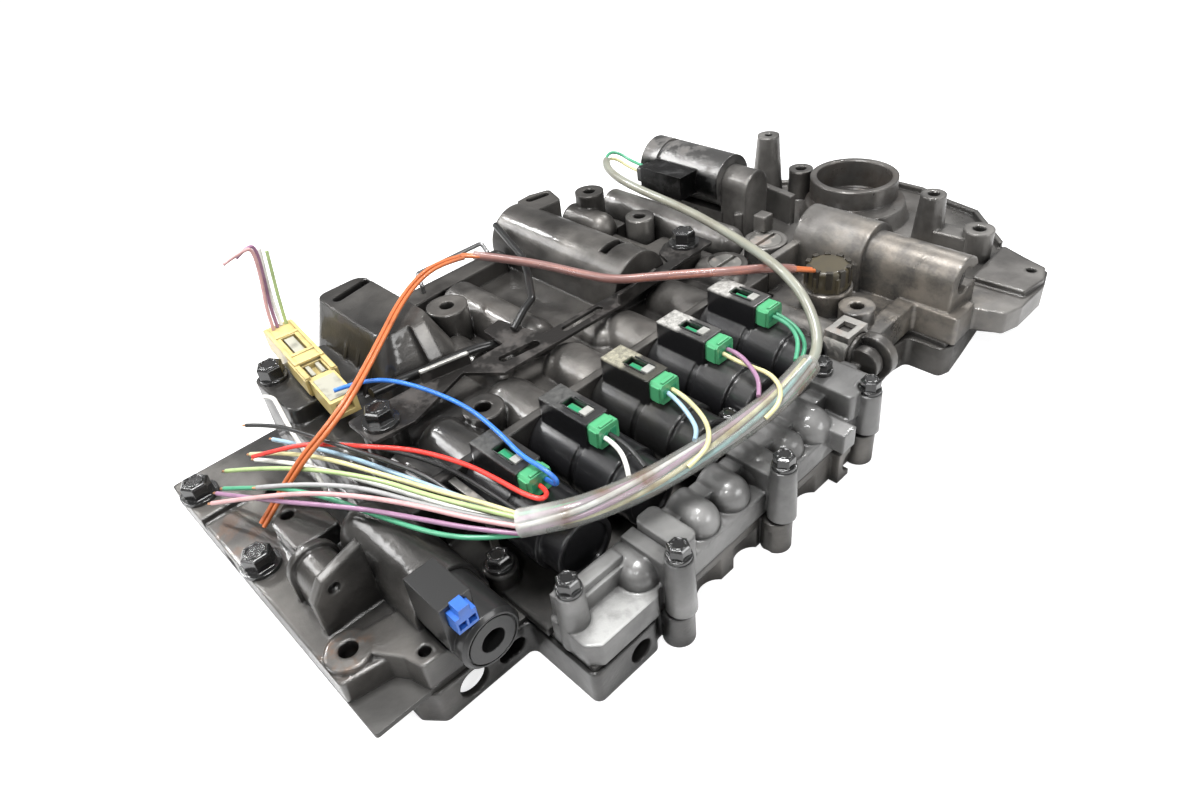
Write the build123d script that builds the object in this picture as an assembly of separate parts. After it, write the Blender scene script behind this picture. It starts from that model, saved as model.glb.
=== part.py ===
from build123d import *
import os
from math import atan2, cos, degrees, hypot, pi, radians, sin, tan

os.makedirs("parts", exist_ok=True)

# Levels above the surface that the lower casting rests on
lower_height = 15.0
plate_thickness = 2.0
flange_thickness = 10.0
bay_floor_thickness = 3.0
deck_height = 40.0
wall_height = 50.0
port_flange_thickness = 11.0
body_floor = lower_height + plate_thickness
flange_top = body_floor + flange_thickness
port_top = body_floor + port_flange_thickness
bay_floor = body_floor + bay_floor_thickness

# Plan of the castings
left_end = -197.0
left_back = 92.0
bay_right = 36.0
bay_back = -14.0
front_side = -97.0
cover_back = -76.0
cover_right = 40.0
seam_x = 66.0
seam_step_x = 53.0
seam_step = (56.0, 84.0)
deck_back = 104.0
joint_gap = 2.0
lug_front = -64.0
lug_wall = 3.0

# Pressure solenoids: five alike, side by side along X, pointing along -Y
solenoid_count = 5
solenoid_pitch = 32.7
first_solenoid_x = 18.7
last_solenoid_x = first_solenoid_x - solenoid_pitch * (solenoid_count - 1)
bay_left = last_solenoid_x - 24.9
solenoid_height = 36.0
can_radius = 14.0
can_back = -18.0
can_front = -60.0
cap_radius = 12.2
cap_front = -70.0
can_gap_place = -41.0
can_gap_width = 2.6
nose_radius = 7.0
nose_length = 24.0
nose_clearance = 0.05
moulding_left = 6.5
moulding_right = 5.0
moulding_wall = 3.0
moulding_back = -20.0
moulding_front = -45.5
moulding_top = 60.0
plug_offset = -0.75
plug_width = 10.0
plug_length = 6.0
plug_height = 8.5
plug_front = moulding_front - plug_length

# Fasteners
bolt_thread = 6.0
bolt_hole = 6.6
bolt_across = 10.0
bolt_head = 6.0
washer_face_radius = 7.5
washer_face = 1.6
cover_thread = 5.0
cover_hole = 5.5
cover_across = 7.0
cover_head = 4.5
cover_washer_radius = 4.5
thread_clearance = 0.05

# Bores and what slides in them
slide_clearance = 0.3
fit_clearance = 0.05
manual_x = 108.0
manual_z = 43.0
manual_radius = 11.5
manual_bore = 6.5
manual_front = -91.0
manual_back = -45.0
manual_bore_end = -12.0
manual_valve_front = -88.0
manual_valve_length = 56.0
spool_radius = 4.5
spool_bore_z = 7.5
spool_places = (-116.0, 8.0)
spool_bore_front = -103.0
spool_bore_end = -34.0
spool_length = 34.0
spool_plug_front = -88.0
spool_plug_length = 6.0
pin_radius = 1.2
accumulator_x = 11.0
accumulator_z = 48.0
accumulator_radius = 17.0
accumulator_front = 20.0
accumulator_back = 112.0
accumulator_wall = 5.0
piston_bore = 13.0
piston_length = 16.0
piston_wall = 2.2
cap_setback = 7.0
cap_thickness = 4.0
spring_wire = 1.6


def slab(points, bottom, top, corner=0.0):
    face = make_face(Polyline(*points, close=True))
    solid = Pos(0, 0, bottom) * extrude(face, top - bottom)
    if corner:
        solid = fillet(solid.edges().filter_by(Axis.Z), corner)
    return solid


def block(x_low, x_high, y_low, y_high, z_low, z_high):
    middle = Pos((x_low + x_high) / 2, (y_low + y_high) / 2, (z_low + z_high) / 2)
    return middle * Box(x_high - x_low, y_high - y_low, z_high - z_low)


def upright(x, y, radius, bottom, top):
    return Pos(x, y, (bottom + top) / 2) * Cylinder(radius, top - bottom)


def tapered_post(x, y, foot_radius, top_radius, bottom, top):
    return Pos(x, y, (bottom + top) / 2) * Cone(foot_radius, top_radius, top - bottom)


def barrel(x, z, radius, front, back):
    return Pos(x, (front + back) / 2, z) * Rot(90, 0, 0) * Cylinder(radius, back - front)


def hump(x, z, radius, front, back, floor):
    return barrel(x, z, radius, front, back) + block(x - radius, x + radius, front, back, floor, z)


def wall_profile(points, front, back):
    """A wall across Y, from its outline in X and Z."""
    face = Plane.XZ * make_face(Polyline(*points, close=True))
    return Pos(0, back, 0) * extrude(face, back - front)


def slot(x, y, length, width, bottom, top, turn=0.0):
    return Pos(x, y, bottom) * Rot(0, 0, turn) * extrude(SlotOverall(length, width), top - bottom)


def hex_bolt(x, y, seat, reach, thread, across, head, washer_radius):
    """A flanged hexagon bolt that seats at the height seat and reaches down to reach."""
    shank = upright(x, y, thread / 2, reach, seat)
    washer = upright(x, y, washer_radius, seat, seat + washer_face)
    hexagon = extrude(RegularPolygon(across / 2, 6, major_radius=False), head)
    crown = chamfer(hexagon.edges().group_by(Axis.Z)[-1], 0.7)
    return shank + washer + Pos(x, y, seat + washer_face) * crown


def coil_spring(x, z, radius, wire, front, back, turns):
    """A helical spring along Y between two faces."""
    length = back - front - wire
    path = Helix(pitch=length / turns, height=length, radius=radius)
    section = Plane(origin=path @ 0, z_dir=path % 0) * Circle(wire / 2)
    return Pos(x, back - wire / 2, z) * Rot(90, 0, 0) * sweep(section, path, is_frenet=True)


def union(shapes):
    whole = shapes[0]
    for shape in shapes[1:]:
        whole = whole + shape
    return whole


def write(name, *shapes):
    """Writes a piece, or a group of like pieces as separate solids."""
    whole = shapes[0] if len(shapes) == 1 else Compound(children=list(shapes))
    export_step(whole, "parts/" + name + ".step")


solenoid_places = [first_solenoid_x - solenoid_pitch * i for i in range(solenoid_count)]

# Bolts: x, y and the height of the seat
cover_bolt_places = [(bay_left + 6.0, -83.0, 42.0), (-98.4, -100.0, 42.0), (-42.0, -100.0, 41.0),
                     (20.0, -97.0, 36.0),
                     (17.0, -76.4, 38.0)]
gap_bolt = (-30.35, -66.0, 35.5)
gap_bolt_radius = 4.0
left_bolt_places = [(-191.0, 77.0), (-191.0, 21.0)]
bracket_bolt_places = [(-129.0, 25.0), (48.0, 25.0)]
valley_bolt = (last_solenoid_x - 20.4, -46.0, 27.0)
back_bolt = (-141.0, 96.0, 48.0)
back_bolt_washer = 6.2
post_radius = 5.6
post_draft = 0.7
lobe_radius = 6.0
lobe_setback = 2.0
bracket_level = 51.0
bracket_thickness = 1.6

# Holes for the bolts that hold the whole valve body to its case, in line along X
mounting_y = 69.0
mounting_holes = (-65.0, 62.0)
mounting_tops = (57.0, 50.0)
mounting_hole_radius = 3.4


def lower_casting():
    front_edge = front_side + 3.0
    outline = [(-181, -57), (-175, lug_front), (bay_left, lug_front), (bay_left, front_side),
               (-108, front_side), (-106, front_edge), (34, front_edge), (cover_right - 1, -88),
               (cover_right - 1, -80), (80, -75), (91, -77), (91, -94), (97, -96), (112, -94), (152, -88),
               (166, -40), (168, 30), (140, 66), (40, 88), (-120, 84), (-168, 60), (-172, -30), (-181, -44)]
    body = slab(outline, 0, lower_height, 3.0)
    for x, y, top in cover_bolt_places[1:4]:
        body += upright(x, y + lobe_setback, lobe_radius, 0, lower_height)
    # Scallops between the bolt lobes, and a square foot beside the last lobe
    for x in (-77.0, -56.0, -17.0):
        body -= upright(x, front_edge - 5, 8.5, 0, lower_height - 4)
    body += block(0, 8, front_edge - 4, front_edge + 6, 0, lower_height)
    for x in spool_places:
        body -= barrel(x, spool_bore_z, spool_radius + slide_clearance, spool_bore_front, spool_bore_end)
        body -= upright(x, spool_plug_front - pin_radius, pin_radius + fit_clearance, 1.0, lower_height + 1)
    # The lug under the shift solenoid: an oil bore right through, with a pocket behind it
    body -= barrel(-162.0, 7.8, 6.0, lug_front - 2, -52)
    body -= block(-172, -152, lug_front + lug_wall, -44, -1, lower_height - 1)
    for x in (-147.5, -143.5):
        body -= barrel(x, 7.8, 3.8, lug_front - 2, -54)
    for x, y, top in cover_bolt_places + [gap_bolt]:
        body -= upright(x, y, cover_thread / 2 + thread_clearance, 3.0, lower_height + 1)
    for x in mounting_holes:
        body -= upright(x, mounting_y, mounting_hole_radius, -1, lower_height + 1)
    # Worm channels in the upper face
    for x, y, length, turn in ((-110, 30, 70, 20), (-60, -20, 80, -15), (20, 10, 90, 30), (90, 0, 70, 80)):
        body -= slot(x, y, length, 7.0, lower_height - 7, lower_height + 1, turn)
    return body


def plate_outline(inset):
    return [(left_end, -62), (-178, -62), (bay_left + inset, -63), (bay_left + inset, front_side + inset),
            (34, front_side + 3 + inset), (cover_right, -88), (cover_right, -78 + inset), (94, -74),
            (93, -94), (112, -94 + inset), (119, -107), (158, -106), (168, -80), (198, -46),
            (206, -14), (202, 16), (160, 66), (136, 100), (seam_x, 102), (-120, 100),
            (-150, left_back - inset),
            (left_end, left_back - inset)]


def steel_separator():
    plate = slab(plate_outline(1.5), lower_height, body_floor, 1.2)
    for x, y, top in cover_bolt_places + [gap_bolt]:
        plate -= upright(x, y, cover_hole / 2, lower_height - 1, body_floor + 1)
    for x, y in left_bolt_places:
        plate -= upright(x, y, bolt_hole / 2, lower_height - 1, body_floor + 1)
    for x in mounting_holes:
        plate -= upright(x, mounting_y, mounting_hole_radius, lower_height - 1, body_floor + 1)
    # Oil ports between the channels of the two castings
    for x, y, radius in ((-135, 22, 2.0), (-86, 40, 1.5), (-92, -12, 2.2), (-30, -28, 1.6), (-14, -8, 2.4),
                         (50, 28, 2.0), (88, -24, 1.8), (92, 26, 2.4)):
        plate -= upright(x, y, radius, lower_height - 1, body_floor + 1)
    return plate


front_boss = (-188.5, -38.0)
front_boss_radius = 8.2
front_boss_top = 29.5
shift_x = -156.0
shift_z = 34.0
shift_radius = 11.2
shift_seat = -50.0
shift_front = -74.0
can_space = 0.5
left_hump_radius = 13.0
end_block_top = 36.0
channel_depth = 5.0
ball_radius = 3.0
ball_space = 0.3
ball_places = [(-110.0, 40.0), (-60.0, 50.0), (-20.0, 14.0), (20.0, 60.0), (40.0, 6.0)]


def left_end_of_body():
    """The low end of the main casting, with the boss, the flap wall and the valve barrel."""
    plate = slab([(left_end, -46), (left_end, left_back), (-140, left_back), (-140, -50), (-176, -50)],
                 body_floor, flange_top, 1.5)
    boss = upright(*front_boss, front_boss_radius, body_floor, front_boss_top)
    corner_block = slab([(-186, -34), (-184, -45), (-178, -54), (-176, -62), (-160, -63), (-150, -40)],
                        body_floor, front_boss_top, 1.5)
    flap = wall_profile([(-190, flange_top - 1), (-190, 43), (-185, 50), (-169, 55), (-169, flange_top - 1)],
                        -27, -23)
    barrel_part = hump(-180.0, 38.0, 8.0, -24, -6, flange_top - 1)
    collar = hump(-180.0, 38.0, 9.4, -7, -4, flange_top - 1)
    shift_barrel = hump(shift_x, shift_z, left_hump_radius, shift_seat, -6, body_floor)
    dome = Pos(shift_x, -6, shift_z) * Sphere(left_hump_radius)
    shift_barrel += dome - block(-180, -140, -30, 20, 0, body_floor)
    end_block = slab([(-181, 8), (-181, 27), (-173, 33), (-163, 33), (-163, 8)], flange_top - 1,
                     end_block_top, 1.5)
    back_block = slab([(-148, 66), (-148, 103), (-112, 103), (-112, 66)], body_floor, back_bolt[2], 5.0)
    body = union([plate, boss, corner_block, flap, barrel_part, collar, shift_barrel, end_block, back_block])
    body -= upright(*front_boss, mounting_hole_radius, body_floor - 1, front_boss_top + 1)
    body -= upright(-172.0, -57.5, 2.2, 20, front_boss_top + 1)
    body -= barrel(-182.0, 45.0, 2.2, -28, -22)
    body -= upright(-174.5, 27.0, 2.6, end_block_top - 8, end_block_top + 1)
    body -= block(-170, -162, 10, 20, flange_top + 2, end_block_top - 3)
    body -= upright(-170.0, 55.0, 3.0, 22, flange_top + 1)
    body -= slot(-188.0, 60.0, 20, 5, flange_top - 3, flange_top + 1)
    body -= slot(left_end - 4, 41.0, 17, 9, body_floor, body_floor + 5)
    # Room for the can of the shift solenoid
    body -= barrel(shift_x, shift_z, shift_radius + can_space, shift_front - 2, shift_seat)
    body -= upright(*back_bolt[:2], bolt_thread / 2 + thread_clearance, 30, 60)
    return body


def solenoid_bank():
    """The wall that the solenoid noses enter, and the round valve lands behind it."""
    bank = block(bay_left, bay_right, bay_back - 4, bay_back, body_floor, wall_height)
    floor = block(bay_left, bay_right, cover_back + 1, bay_back, body_floor, bay_floor)
    parts = [bank, floor, upright(*valley_bolt[:2], 6.5, body_floor, valley_bolt[2])]
    parts.append(upright(*gap_bolt[:2], gap_bolt_radius, body_floor, gap_bolt[2]))
    for x in solenoid_places:
        parts.append(hump(x, wall_height - 13.5, 13.0, bay_back - 1, 8, body_floor))
        parts.append(Pos(x, 8, wall_height - 13.5) * Sphere(13.0))
    return union(parts) - block(-140, 60, -20, 30, 10, body_floor)


housing_x = -93.0
housing_front = 46.0
housing_back = 114.0
housing_width = 46.0
housing_crown = 65.0
crown_front = 57.0
crown_width = 25.0
ledge_top = 49.0
accumulator_lug_top = 64.0


def accumulator_housing():
    """The large closed housing at the back left: walls with much draft up to a flat crown, and fins."""
    foot_length = housing_back - housing_front
    crown_length = housing_back - crown_front
    foot = Pos(housing_x, housing_front + foot_length / 2, deck_height) * RectangleRounded(
        housing_width, foot_length, 10)
    crown = Pos(housing_x, crown_front + crown_length / 2, housing_crown) * RectangleRounded(
        crown_width, crown_length, 6)
    body = loft([foot, crown])
    body += Pos(0, 0, body_floor - deck_height) * extrude(foot, deck_height - body_floor)
    # The rib down the front, and the fins of the left wall
    rib_points = [(housing_front - 6, deck_height - 1), (crown_front - 3, housing_crown),
                  (crown_front + 3, housing_crown), (crown_front + 3, deck_height - 1)]
    rib = Plane.YZ * make_face(Polyline(*rib_points, close=True))
    body += Pos(housing_x + 1, 0, 0) * extrude(rib, 7)
    for y in (62.0, 72.0, 82.0):
        body += wall_profile([(-118.5, deck_height - 1), (-106, 62), (-104, deck_height - 1)], y, y + 2.5)
    return body - slot(housing_x + 2, 105, 22, 5, housing_crown - 4, housing_crown + 5, 12)


def main_casting():
    deck = slab([(-150, bay_back), (-150, 70), (-124, deck_back), (seam_x, deck_back + 6),
                 (seam_x, seam_step[1]),
                 (seam_step_x, seam_step[1]), (seam_step_x, seam_step[0]), (seam_x, seam_step[0]),
                 (seam_x, bay_back), (bay_right, bay_back)], body_floor, deck_height, 2.0)
    ledge = slab([(-72, 94), (-66, 107), (-8, 107), (-8, 96)], body_floor, ledge_top, 3.0)
    body = deck + ledge + left_end_of_body() + solenoid_bank() + accumulator_housing()
    body += hump(accumulator_x, accumulator_z, accumulator_radius, accumulator_front, accumulator_back,
                 body_floor)
    body += slab([(16, 98), (16, 115), (26, 116), (37, 112), (32, 97)], body_floor, accumulator_lug_top, 2.0)
    body -= slot(27, 110, 14, 5, accumulator_lug_top - 5, accumulator_lug_top + 1, -10)
    # Valve lands on the deck: x, axis height, radius, front and back
    for x, z, radius, front, back in ((-46, 40, 12, 34, 90), (-72, 38, 9, 30, 60), (-22, 37, 9.4, 12, 26),
                                      (50, 42, 9, 88, 110), (-130, 36, 9, -5, 14), (50, 38, 10, 0, 14)):
        body += hump(x, z, radius, front, back, body_floor)
        body += Pos(x, front, z) * Sphere(radius) - block(-200, 90, -60, 120, 0, body_floor)
    for x, y, radius, top in ((mounting_holes[0], mounting_y, 9.5, mounting_tops[0]),
                              (-96, 4, 8.5, wall_height),
                              (57, 102, 8, 58)):
        body += upright(x, y, radius, body_floor, top)
        body -= upright(x, y, mounting_hole_radius, top - 22, top + 1)
    body -= upright(mounting_holes[0], mounting_y, mounting_hole_radius, body_floor - 1, mounting_tops[0] + 1)
    for x, y in bracket_bolt_places:
        body += upright(x, y, 8.5, body_floor, bracket_level)
        body -= upright(x, y, bolt_thread / 2 + thread_clearance, bracket_level - 17, bracket_level + 1)
    for x, y in left_bolt_places:
        body -= upright(x, y, bolt_hole / 2, body_floor - 1, flange_top + 1)
    body -= upright(*valley_bolt[:2], bolt_thread / 2 + thread_clearance, body_floor + 1, valley_bolt[2] + 1)
    body -= upright(*gap_bolt[:2], cover_hole / 2, body_floor - 1, gap_bolt[2] + 1)
    body -= upright(*cover_bolt_places[4][:2], cover_hole / 2, body_floor - 1, bay_floor + 1)
    for x in solenoid_places:
        body -= barrel(x, solenoid_height, nose_radius + nose_clearance, bay_back - 6, can_back + nose_length)
    body -= barrel(shift_x, shift_z, nose_radius + nose_clearance, shift_seat - 1, shift_seat + nose_length)
    # The accumulator bore, open at the back, with a slot through its crown and one at the mouth
    body -= barrel(accumulator_x, accumulator_z, piston_bore, accumulator_front + accumulator_wall,
                   accumulator_back + 5)
    body -= block(accumulator_x - 7, accumulator_x + 7, 34, 39, accumulator_z + 8, accumulator_z + 20)
    # Pockets for the check balls, and channels, in the under face
    for x, y in ball_places:
        body -= upright(x, y, ball_radius + ball_space, body_floor - 1, body_floor + 2 * ball_radius + 1)
    for x, y, length, turn in ((-100, 36, 60, 30), (-40, 40, 70, -20), (30, 40, 60, 60), (-60, -4, 60, 0)):
        body -= slot(x, y, length, 6.0, body_floor - 1, body_floor + channel_depth, turn)
    return body


dome_front = -86.0
plateau_gap = 0.6


def cover_casting():
    outline = [(bay_left + 1, cover_back), (bay_left + 1, front_side + 4), (-132, front_side),
               (-106, front_side),
               (-104, front_side + 2), (34, front_side + 2), (cover_right, -89), (cover_right, cover_back)]
    body = slab(outline, body_floor, flange_top, 1.5)
    body += slab([(-130, cover_back), (-130, -84), (34, -84), (34, cover_back)], flange_top - 1, 34, 2.5)
    for x, y, top in cover_bolt_places[:4]:
        body += tapered_post(x, y, post_radius, post_radius - post_draft, body_floor, top)
        body += block(x - 3, x + 3, y, cover_back, flange_top - 1, top - 5)
    # Domed valve lands: x, radius and the height of the axis
    for x, radius, z in ((-104, 7.5, 28), (-73, 8, 29), (-56, 8, 29), (-38, 8, 29), (-21.5, 7.5, 28),
                         (-6, 9.5, 28)):
        dome = hump(x, z, radius, dome_front, cover_back, flange_top - 1)
        dome += Pos(x, dome_front, z) * Sphere(radius)
        body += dome - block(x - 20, x + 20, front_side, cover_back, 0, flange_top - 2)
    # Flat plateaus that run back from the posts
    plateau_back = cap_front - plateau_gap
    for left, right, front, back, top in ((-95, -85, -97, cover_back, 40), (9, 27, -96, plateau_back, 38)):
        body += slab([(left, front), (right, front), (right, back), (left, back)], flange_top - 1, top, 3.0)
    body += block(-127, -107, -82.5, -77, flange_top - 1, 37)
    body += block(-5, 3, -102, -90, 22, 31)
    for x, y, top in cover_bolt_places:
        body -= upright(x, y, cover_hole / 2, body_floor - 1, top + 1)
        body -= upright(x, y, cover_washer_radius + 0.4, top, top + 20)
    return body


ring_x = 171.0
ring_y = 6.0
ring_radius = 24.0
ring_bore = 20.5
ring_pedestal_top = 37.0
ring_lip = 3.0
ring_top = 48.0
ring_floor = port_top + 4.0
rear_x = 117.0
rear_z = 54.0
rear_radius = 14.5
rear_seat = 50.0
rear_back = 106.0
rear_nose_length = 14.0
rear_plug_x = 97.0
rear_plug_back = 99.0
sensor_place = (74.0, -41.0)
sensor_radius = 10.0
sensor_seat = 40.0
sensor_top = 51.0
screw_plug_places = [(54.0, 4.0, 46.0), (91.0, 7.0, 42.0)]
screw_plug_radius = 8.0
screw_plug_depth = 8.0
port_boss_places = [(68.0, -61.0, 38.5, 8.2), (156.0, -74.0, 44.0, 7.4), (169.0, 40.0, 45.0, 7.0)]
tall_post = (157.0, 55.0, 66.0)
short_post = (154.0, -49.0, 57.0)
bore_clip_x = 48.0
bore_clip_z = 30.0
bore_clip_radius = 8.5
bore_clip_gap = 0.3
bore_clip_sheet = 1.7
lip_width = 2.5
lip_height = 3.0
grooved_boss_y = -80.0
grooved_boss_z = 28.0


def port_casting():
    left = seam_x + joint_gap
    step = seam_step_x + joint_gap
    outline = [(38, -74), (42, -80), (62, -76), (95, -75), (94, -97), (112, -96), (116, -109), (126, -112),
               (149, -112), (162, -108), (166, -96), (174, -80), (200, -54), (204, -36), (211, -16), (211, 6),
               (204, 24), (186, 44), (166, 72), (140, 106), (left, 110), (left, seam_step[1] - joint_gap),
               (step, seam_step[1] - joint_gap), (step, seam_step[0] + joint_gap),
               (left, seam_step[0] + joint_gap),
               (left, bay_back - joint_gap), (38, bay_back - joint_gap - 2)]
    body = slab(outline, body_floor, port_top, 2.0)
    parts = [body]
    parts.append(slab([(95, -75), (94, -97), (112, -96), (112, -66), (62, -66), (62, -76)],
                      body_floor, 31, 1.5))
    parts.append(slab([(133, -84), (134, -109), (150, -111), (160, -107), (164, -96), (170, -82)],
                      body_floor, 31, 1.5))
    # The barrel of the manual valve, its pedestal and the saddle behind it
    parts.append(hump(manual_x, manual_z, manual_radius, manual_front, manual_back, port_top - 1))
    parts.append(slab([(92, -46), (126, -46), (140, -8), (96, -8)], body_floor, manual_z, 3.0))
    parts.append(hump(manual_x, manual_z, 15.0, manual_back - 1, -8, body_floor))
    # The raised port ring
    parts.append(upright(ring_x, ring_y, ring_radius, port_top - 1, ring_top))
    parts.append(tapered_post(ring_x - 6, ring_y - 5, 30.0, 27.0, port_top - 1, ring_pedestal_top))
    parts.append(slab([(68, -12), (135, -12), (135, -8), (68, -8)], body_floor, 45))
    # Ribs that tie the tall post to the walls
    parts.append(slab([(134, 22), (138, 22), (144, 58), (140, 58)], body_floor, 45))
    parts.append(slab([(104, 38), (107, 35), (152, 60), (150, 64)], body_floor, 42))
    parts.append(tapered_post(*tall_post[:2], 9.5, 6.2, port_top - 1, tall_post[2]))
    parts.append(tapered_post(*short_post[:2], 8.5, 6.2, port_top - 1, short_post[2]))
    for x, y, top, radius in port_boss_places:
        parts.append(upright(x, y, radius, port_top - 1, top))
    parts.append(slab([(150, -76), (160, -78), (160, -52), (148, -52)], port_top - 1, 40, 2.0))
    parts.append(upright(*sensor_place, sensor_radius + 2, port_top - 1, sensor_seat))
    parts.append(upright(mounting_holes[1], mounting_y, 7.6, body_floor, mounting_tops[1]))
    for x, y, top in screw_plug_places[1:]:
        parts.append(upright(x, y, screw_plug_radius + 3, port_top - 1, top))
        parts.append(block(x + 4, x + 11, y + 4, y + 11, port_top, top + 9))
    # The seat of the rear solenoid, the saddle under it and the valve barrel beside it
    parts.append(hump(rear_x, rear_z, 9.5, rear_seat - rear_nose_length - 3, rear_seat, port_top - 1))
    parts.append(block(rear_x - 10, rear_x + 10, rear_seat - 1, 98, port_top - 1, rear_z - rear_radius - 0.2))
    parts.append(hump(78, 41, 9.0, 22, 106, port_top - 1))
    parts.append(Pos(78, 22, 41) * Sphere(9.0))
    parts.append(hump(bore_clip_x, bore_clip_z, bore_clip_radius, -75.5, -20, port_top - 1))
    # A round boss along X with a groove, at the front left corner
    for x, length, radius in ((45.0, 5.0, 7.5), (48.0, 4.0, 5.5), (52.0, 5.0, 10.5)):
        parts.append(Pos(x, grooved_boss_y, grooved_boss_z) * Rot(0, 90, 0) * Cylinder(radius, length))
    # The raised lip along the outer edge, from behind the ring to the front lobe
    face = make_face(Polyline(*outline, close=True))
    lip = extrude(face - offset(face, -lip_width), lip_height + 1) & block(172, 215, -80, 60, -1, 10)
    parts.append(Pos(0, 0, port_top - 1) * lip)
    body = union(parts)
    body -= upright(ring_x, ring_y, ring_bore, ring_floor, ring_top + 1)
    body -= upright(ring_x, ring_y, ring_bore - ring_lip, body_floor - 1, ring_top)
    body -= barrel(manual_x, manual_z, manual_bore, manual_front - 1, manual_bore_end)
    body -= block(manual_x - 4, manual_x + 14, manual_front - 1, manual_front + 9, manual_z - 5, manual_z + 4)
    body -= barrel(rear_x, rear_z, nose_radius + nose_clearance, rear_seat - rear_nose_length - 1,
                   rear_seat + 1)
    for x, y, top, radius in port_boss_places:
        body -= upright(x, y, 3.2, body_floor - 1, top + 1)
    body -= upright(*tall_post[:2], 2.2, tall_post[2] - 16, tall_post[2] + 1)
    body -= upright(*short_post[:2], 3.0, short_post[2] - 16, short_post[2] + 1)
    body -= upright(154, -103, 2.4, body_floor - 1, port_top + 4)
    body -= upright(mounting_holes[1], mounting_y, mounting_hole_radius, body_floor - 1, mounting_tops[1] + 1)
    body -= upright(*sensor_place, sensor_radius - 2.5, sensor_seat - 10, sensor_seat + 1)
    for x, y, top in screw_plug_places[1:]:
        body -= upright(x, y, screw_plug_radius + fit_clearance, top - screw_plug_depth, top + 1)
    body -= slot(156, -110.5, 14, 6, port_top - 8, port_top - 3, 17)
    return body


main_body = main_casting()
for x, y, top in screw_plug_places[:1]:
    main_body += upright(x, y, screw_plug_radius + 3, body_floor, top)
    main_body -= upright(x, y, screw_plug_radius + fit_clearance, top - screw_plug_depth, top + 20)
write("main_body", main_body)
write("port_body", port_casting())
write("side_cover", cover_casting())
write("lower_body", lower_casting())
write("separator_plate", steel_separator())


def pressure_solenoid(x):
    """A steel can in two lengths with an end cap, its valve nose, and the connector moulded on top."""
    can = barrel(x, solenoid_height, can_radius, can_front, can_back)
    waist = barrel(x, solenoid_height, can_radius + 1, can_gap_place - can_gap_width, can_gap_place)
    waist -= barrel(x, solenoid_height, can_radius - 1, can_gap_place - can_gap_width, can_gap_place)
    can -= waist
    can += barrel(x, solenoid_height, cap_radius, cap_front, can_front)
    can -= barrel(x, solenoid_height, cap_radius - 2, cap_front, cap_front + 1.2)
    nose = barrel(x, solenoid_height, nose_radius, can_back - 1, can_back + nose_length - 1)
    left, right = x - moulding_left, x + moulding_right
    moulding = block(left, right, moulding_front, moulding_back, solenoid_height + 8, moulding_top)
    window = block(left + moulding_wall, right - moulding_wall, moulding_front - 1, moulding_back - 9,
                   moulding_top - 7, moulding_top + 1)
    bridge = block(left, right, moulding_front, moulding_front + 6, moulding_top - 2, moulding_top)
    moulding = moulding - window + bridge
    return can + nose + moulding


def lead_plug(x):
    """The two-way plug: a body that stands out of the moulding and a latch inside its window."""
    middle = x + plug_offset
    body = block(middle - plug_width / 2, middle + plug_width / 2, plug_front, moulding_front,
                 moulding_top - plug_height - 0.8, moulding_top - 0.5)
    body = chamfer(body.edges().filter_by(Axis.Y), 1.0)
    latch = block(middle - 2.2, middle + 2.2, moulding_front - 1, moulding_back - 10, moulding_top - 6.8,
                  moulding_top - 2.4)
    return body + latch


for number, x in enumerate(solenoid_places, start=1):
    write("pressure_solenoid_" + str(number), pressure_solenoid(x))
    write("lead_plug_" + str(number), lead_plug(x))

shift_moulding_left = shift_x - 12.0
shift_moulding_right = shift_x - 0.5
shift_moulding_front = -69.0
shift_moulding_top = 55.0
shift_wall = 1.8
shift_window_depth = 6.0
shift_window_floor = shift_moulding_top - 8.5
shift_pole_radius = 9.4


def shift_solenoid():
    """A can with a chamfered front and a pole ring, and a connector shell set off to one side."""
    can = barrel(shift_x, shift_z, shift_radius, shift_front, shift_seat)
    can = chamfer(can.edges().group_by(Axis.Y)[0], 1.2)
    can -= barrel(shift_x, shift_z, shift_pole_radius, shift_front - 1, shift_front + 0.8)
    can += barrel(shift_x, shift_z, shift_pole_radius - 0.6, shift_front, shift_front + 1)
    can -= barrel(shift_x, shift_z, 4.5, shift_front - 1, shift_front + 12)
    nose = barrel(shift_x, shift_z, nose_radius, shift_seat - 1, shift_seat + nose_length - 1)
    moulding = block(shift_moulding_left, shift_moulding_right, shift_moulding_front, shift_seat, shift_z + 2,
                     shift_moulding_top)
    moulding -= block(shift_moulding_left + shift_wall, shift_moulding_right - shift_wall,
                      shift_moulding_front - 1, shift_moulding_front + shift_window_depth,
                      shift_window_floor, shift_moulding_top - shift_wall)
    return can + nose + moulding


def shift_plug():
    """The blue two-way plug, with a latch on top and two open cells in its face."""
    left = shift_moulding_left + shift_wall + 0.2
    right = shift_moulding_right - shift_wall - 0.2
    front = shift_moulding_front - 5.0
    low, high = shift_window_floor + 0.2, shift_moulding_top - shift_wall - 0.2
    middle = (left + right) / 2
    body = block(left, right, front, shift_moulding_front + shift_window_depth, low, high)
    body += block(middle - 2, middle + 2, front, shift_moulding_front, high - 1, shift_moulding_top + 1)
    for cell in (left + 0.7, middle + 0.5):
        body -= block(cell, cell + 2.7, front - 1, front + 3, low + 1.2, low + 4)
    return body


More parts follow.
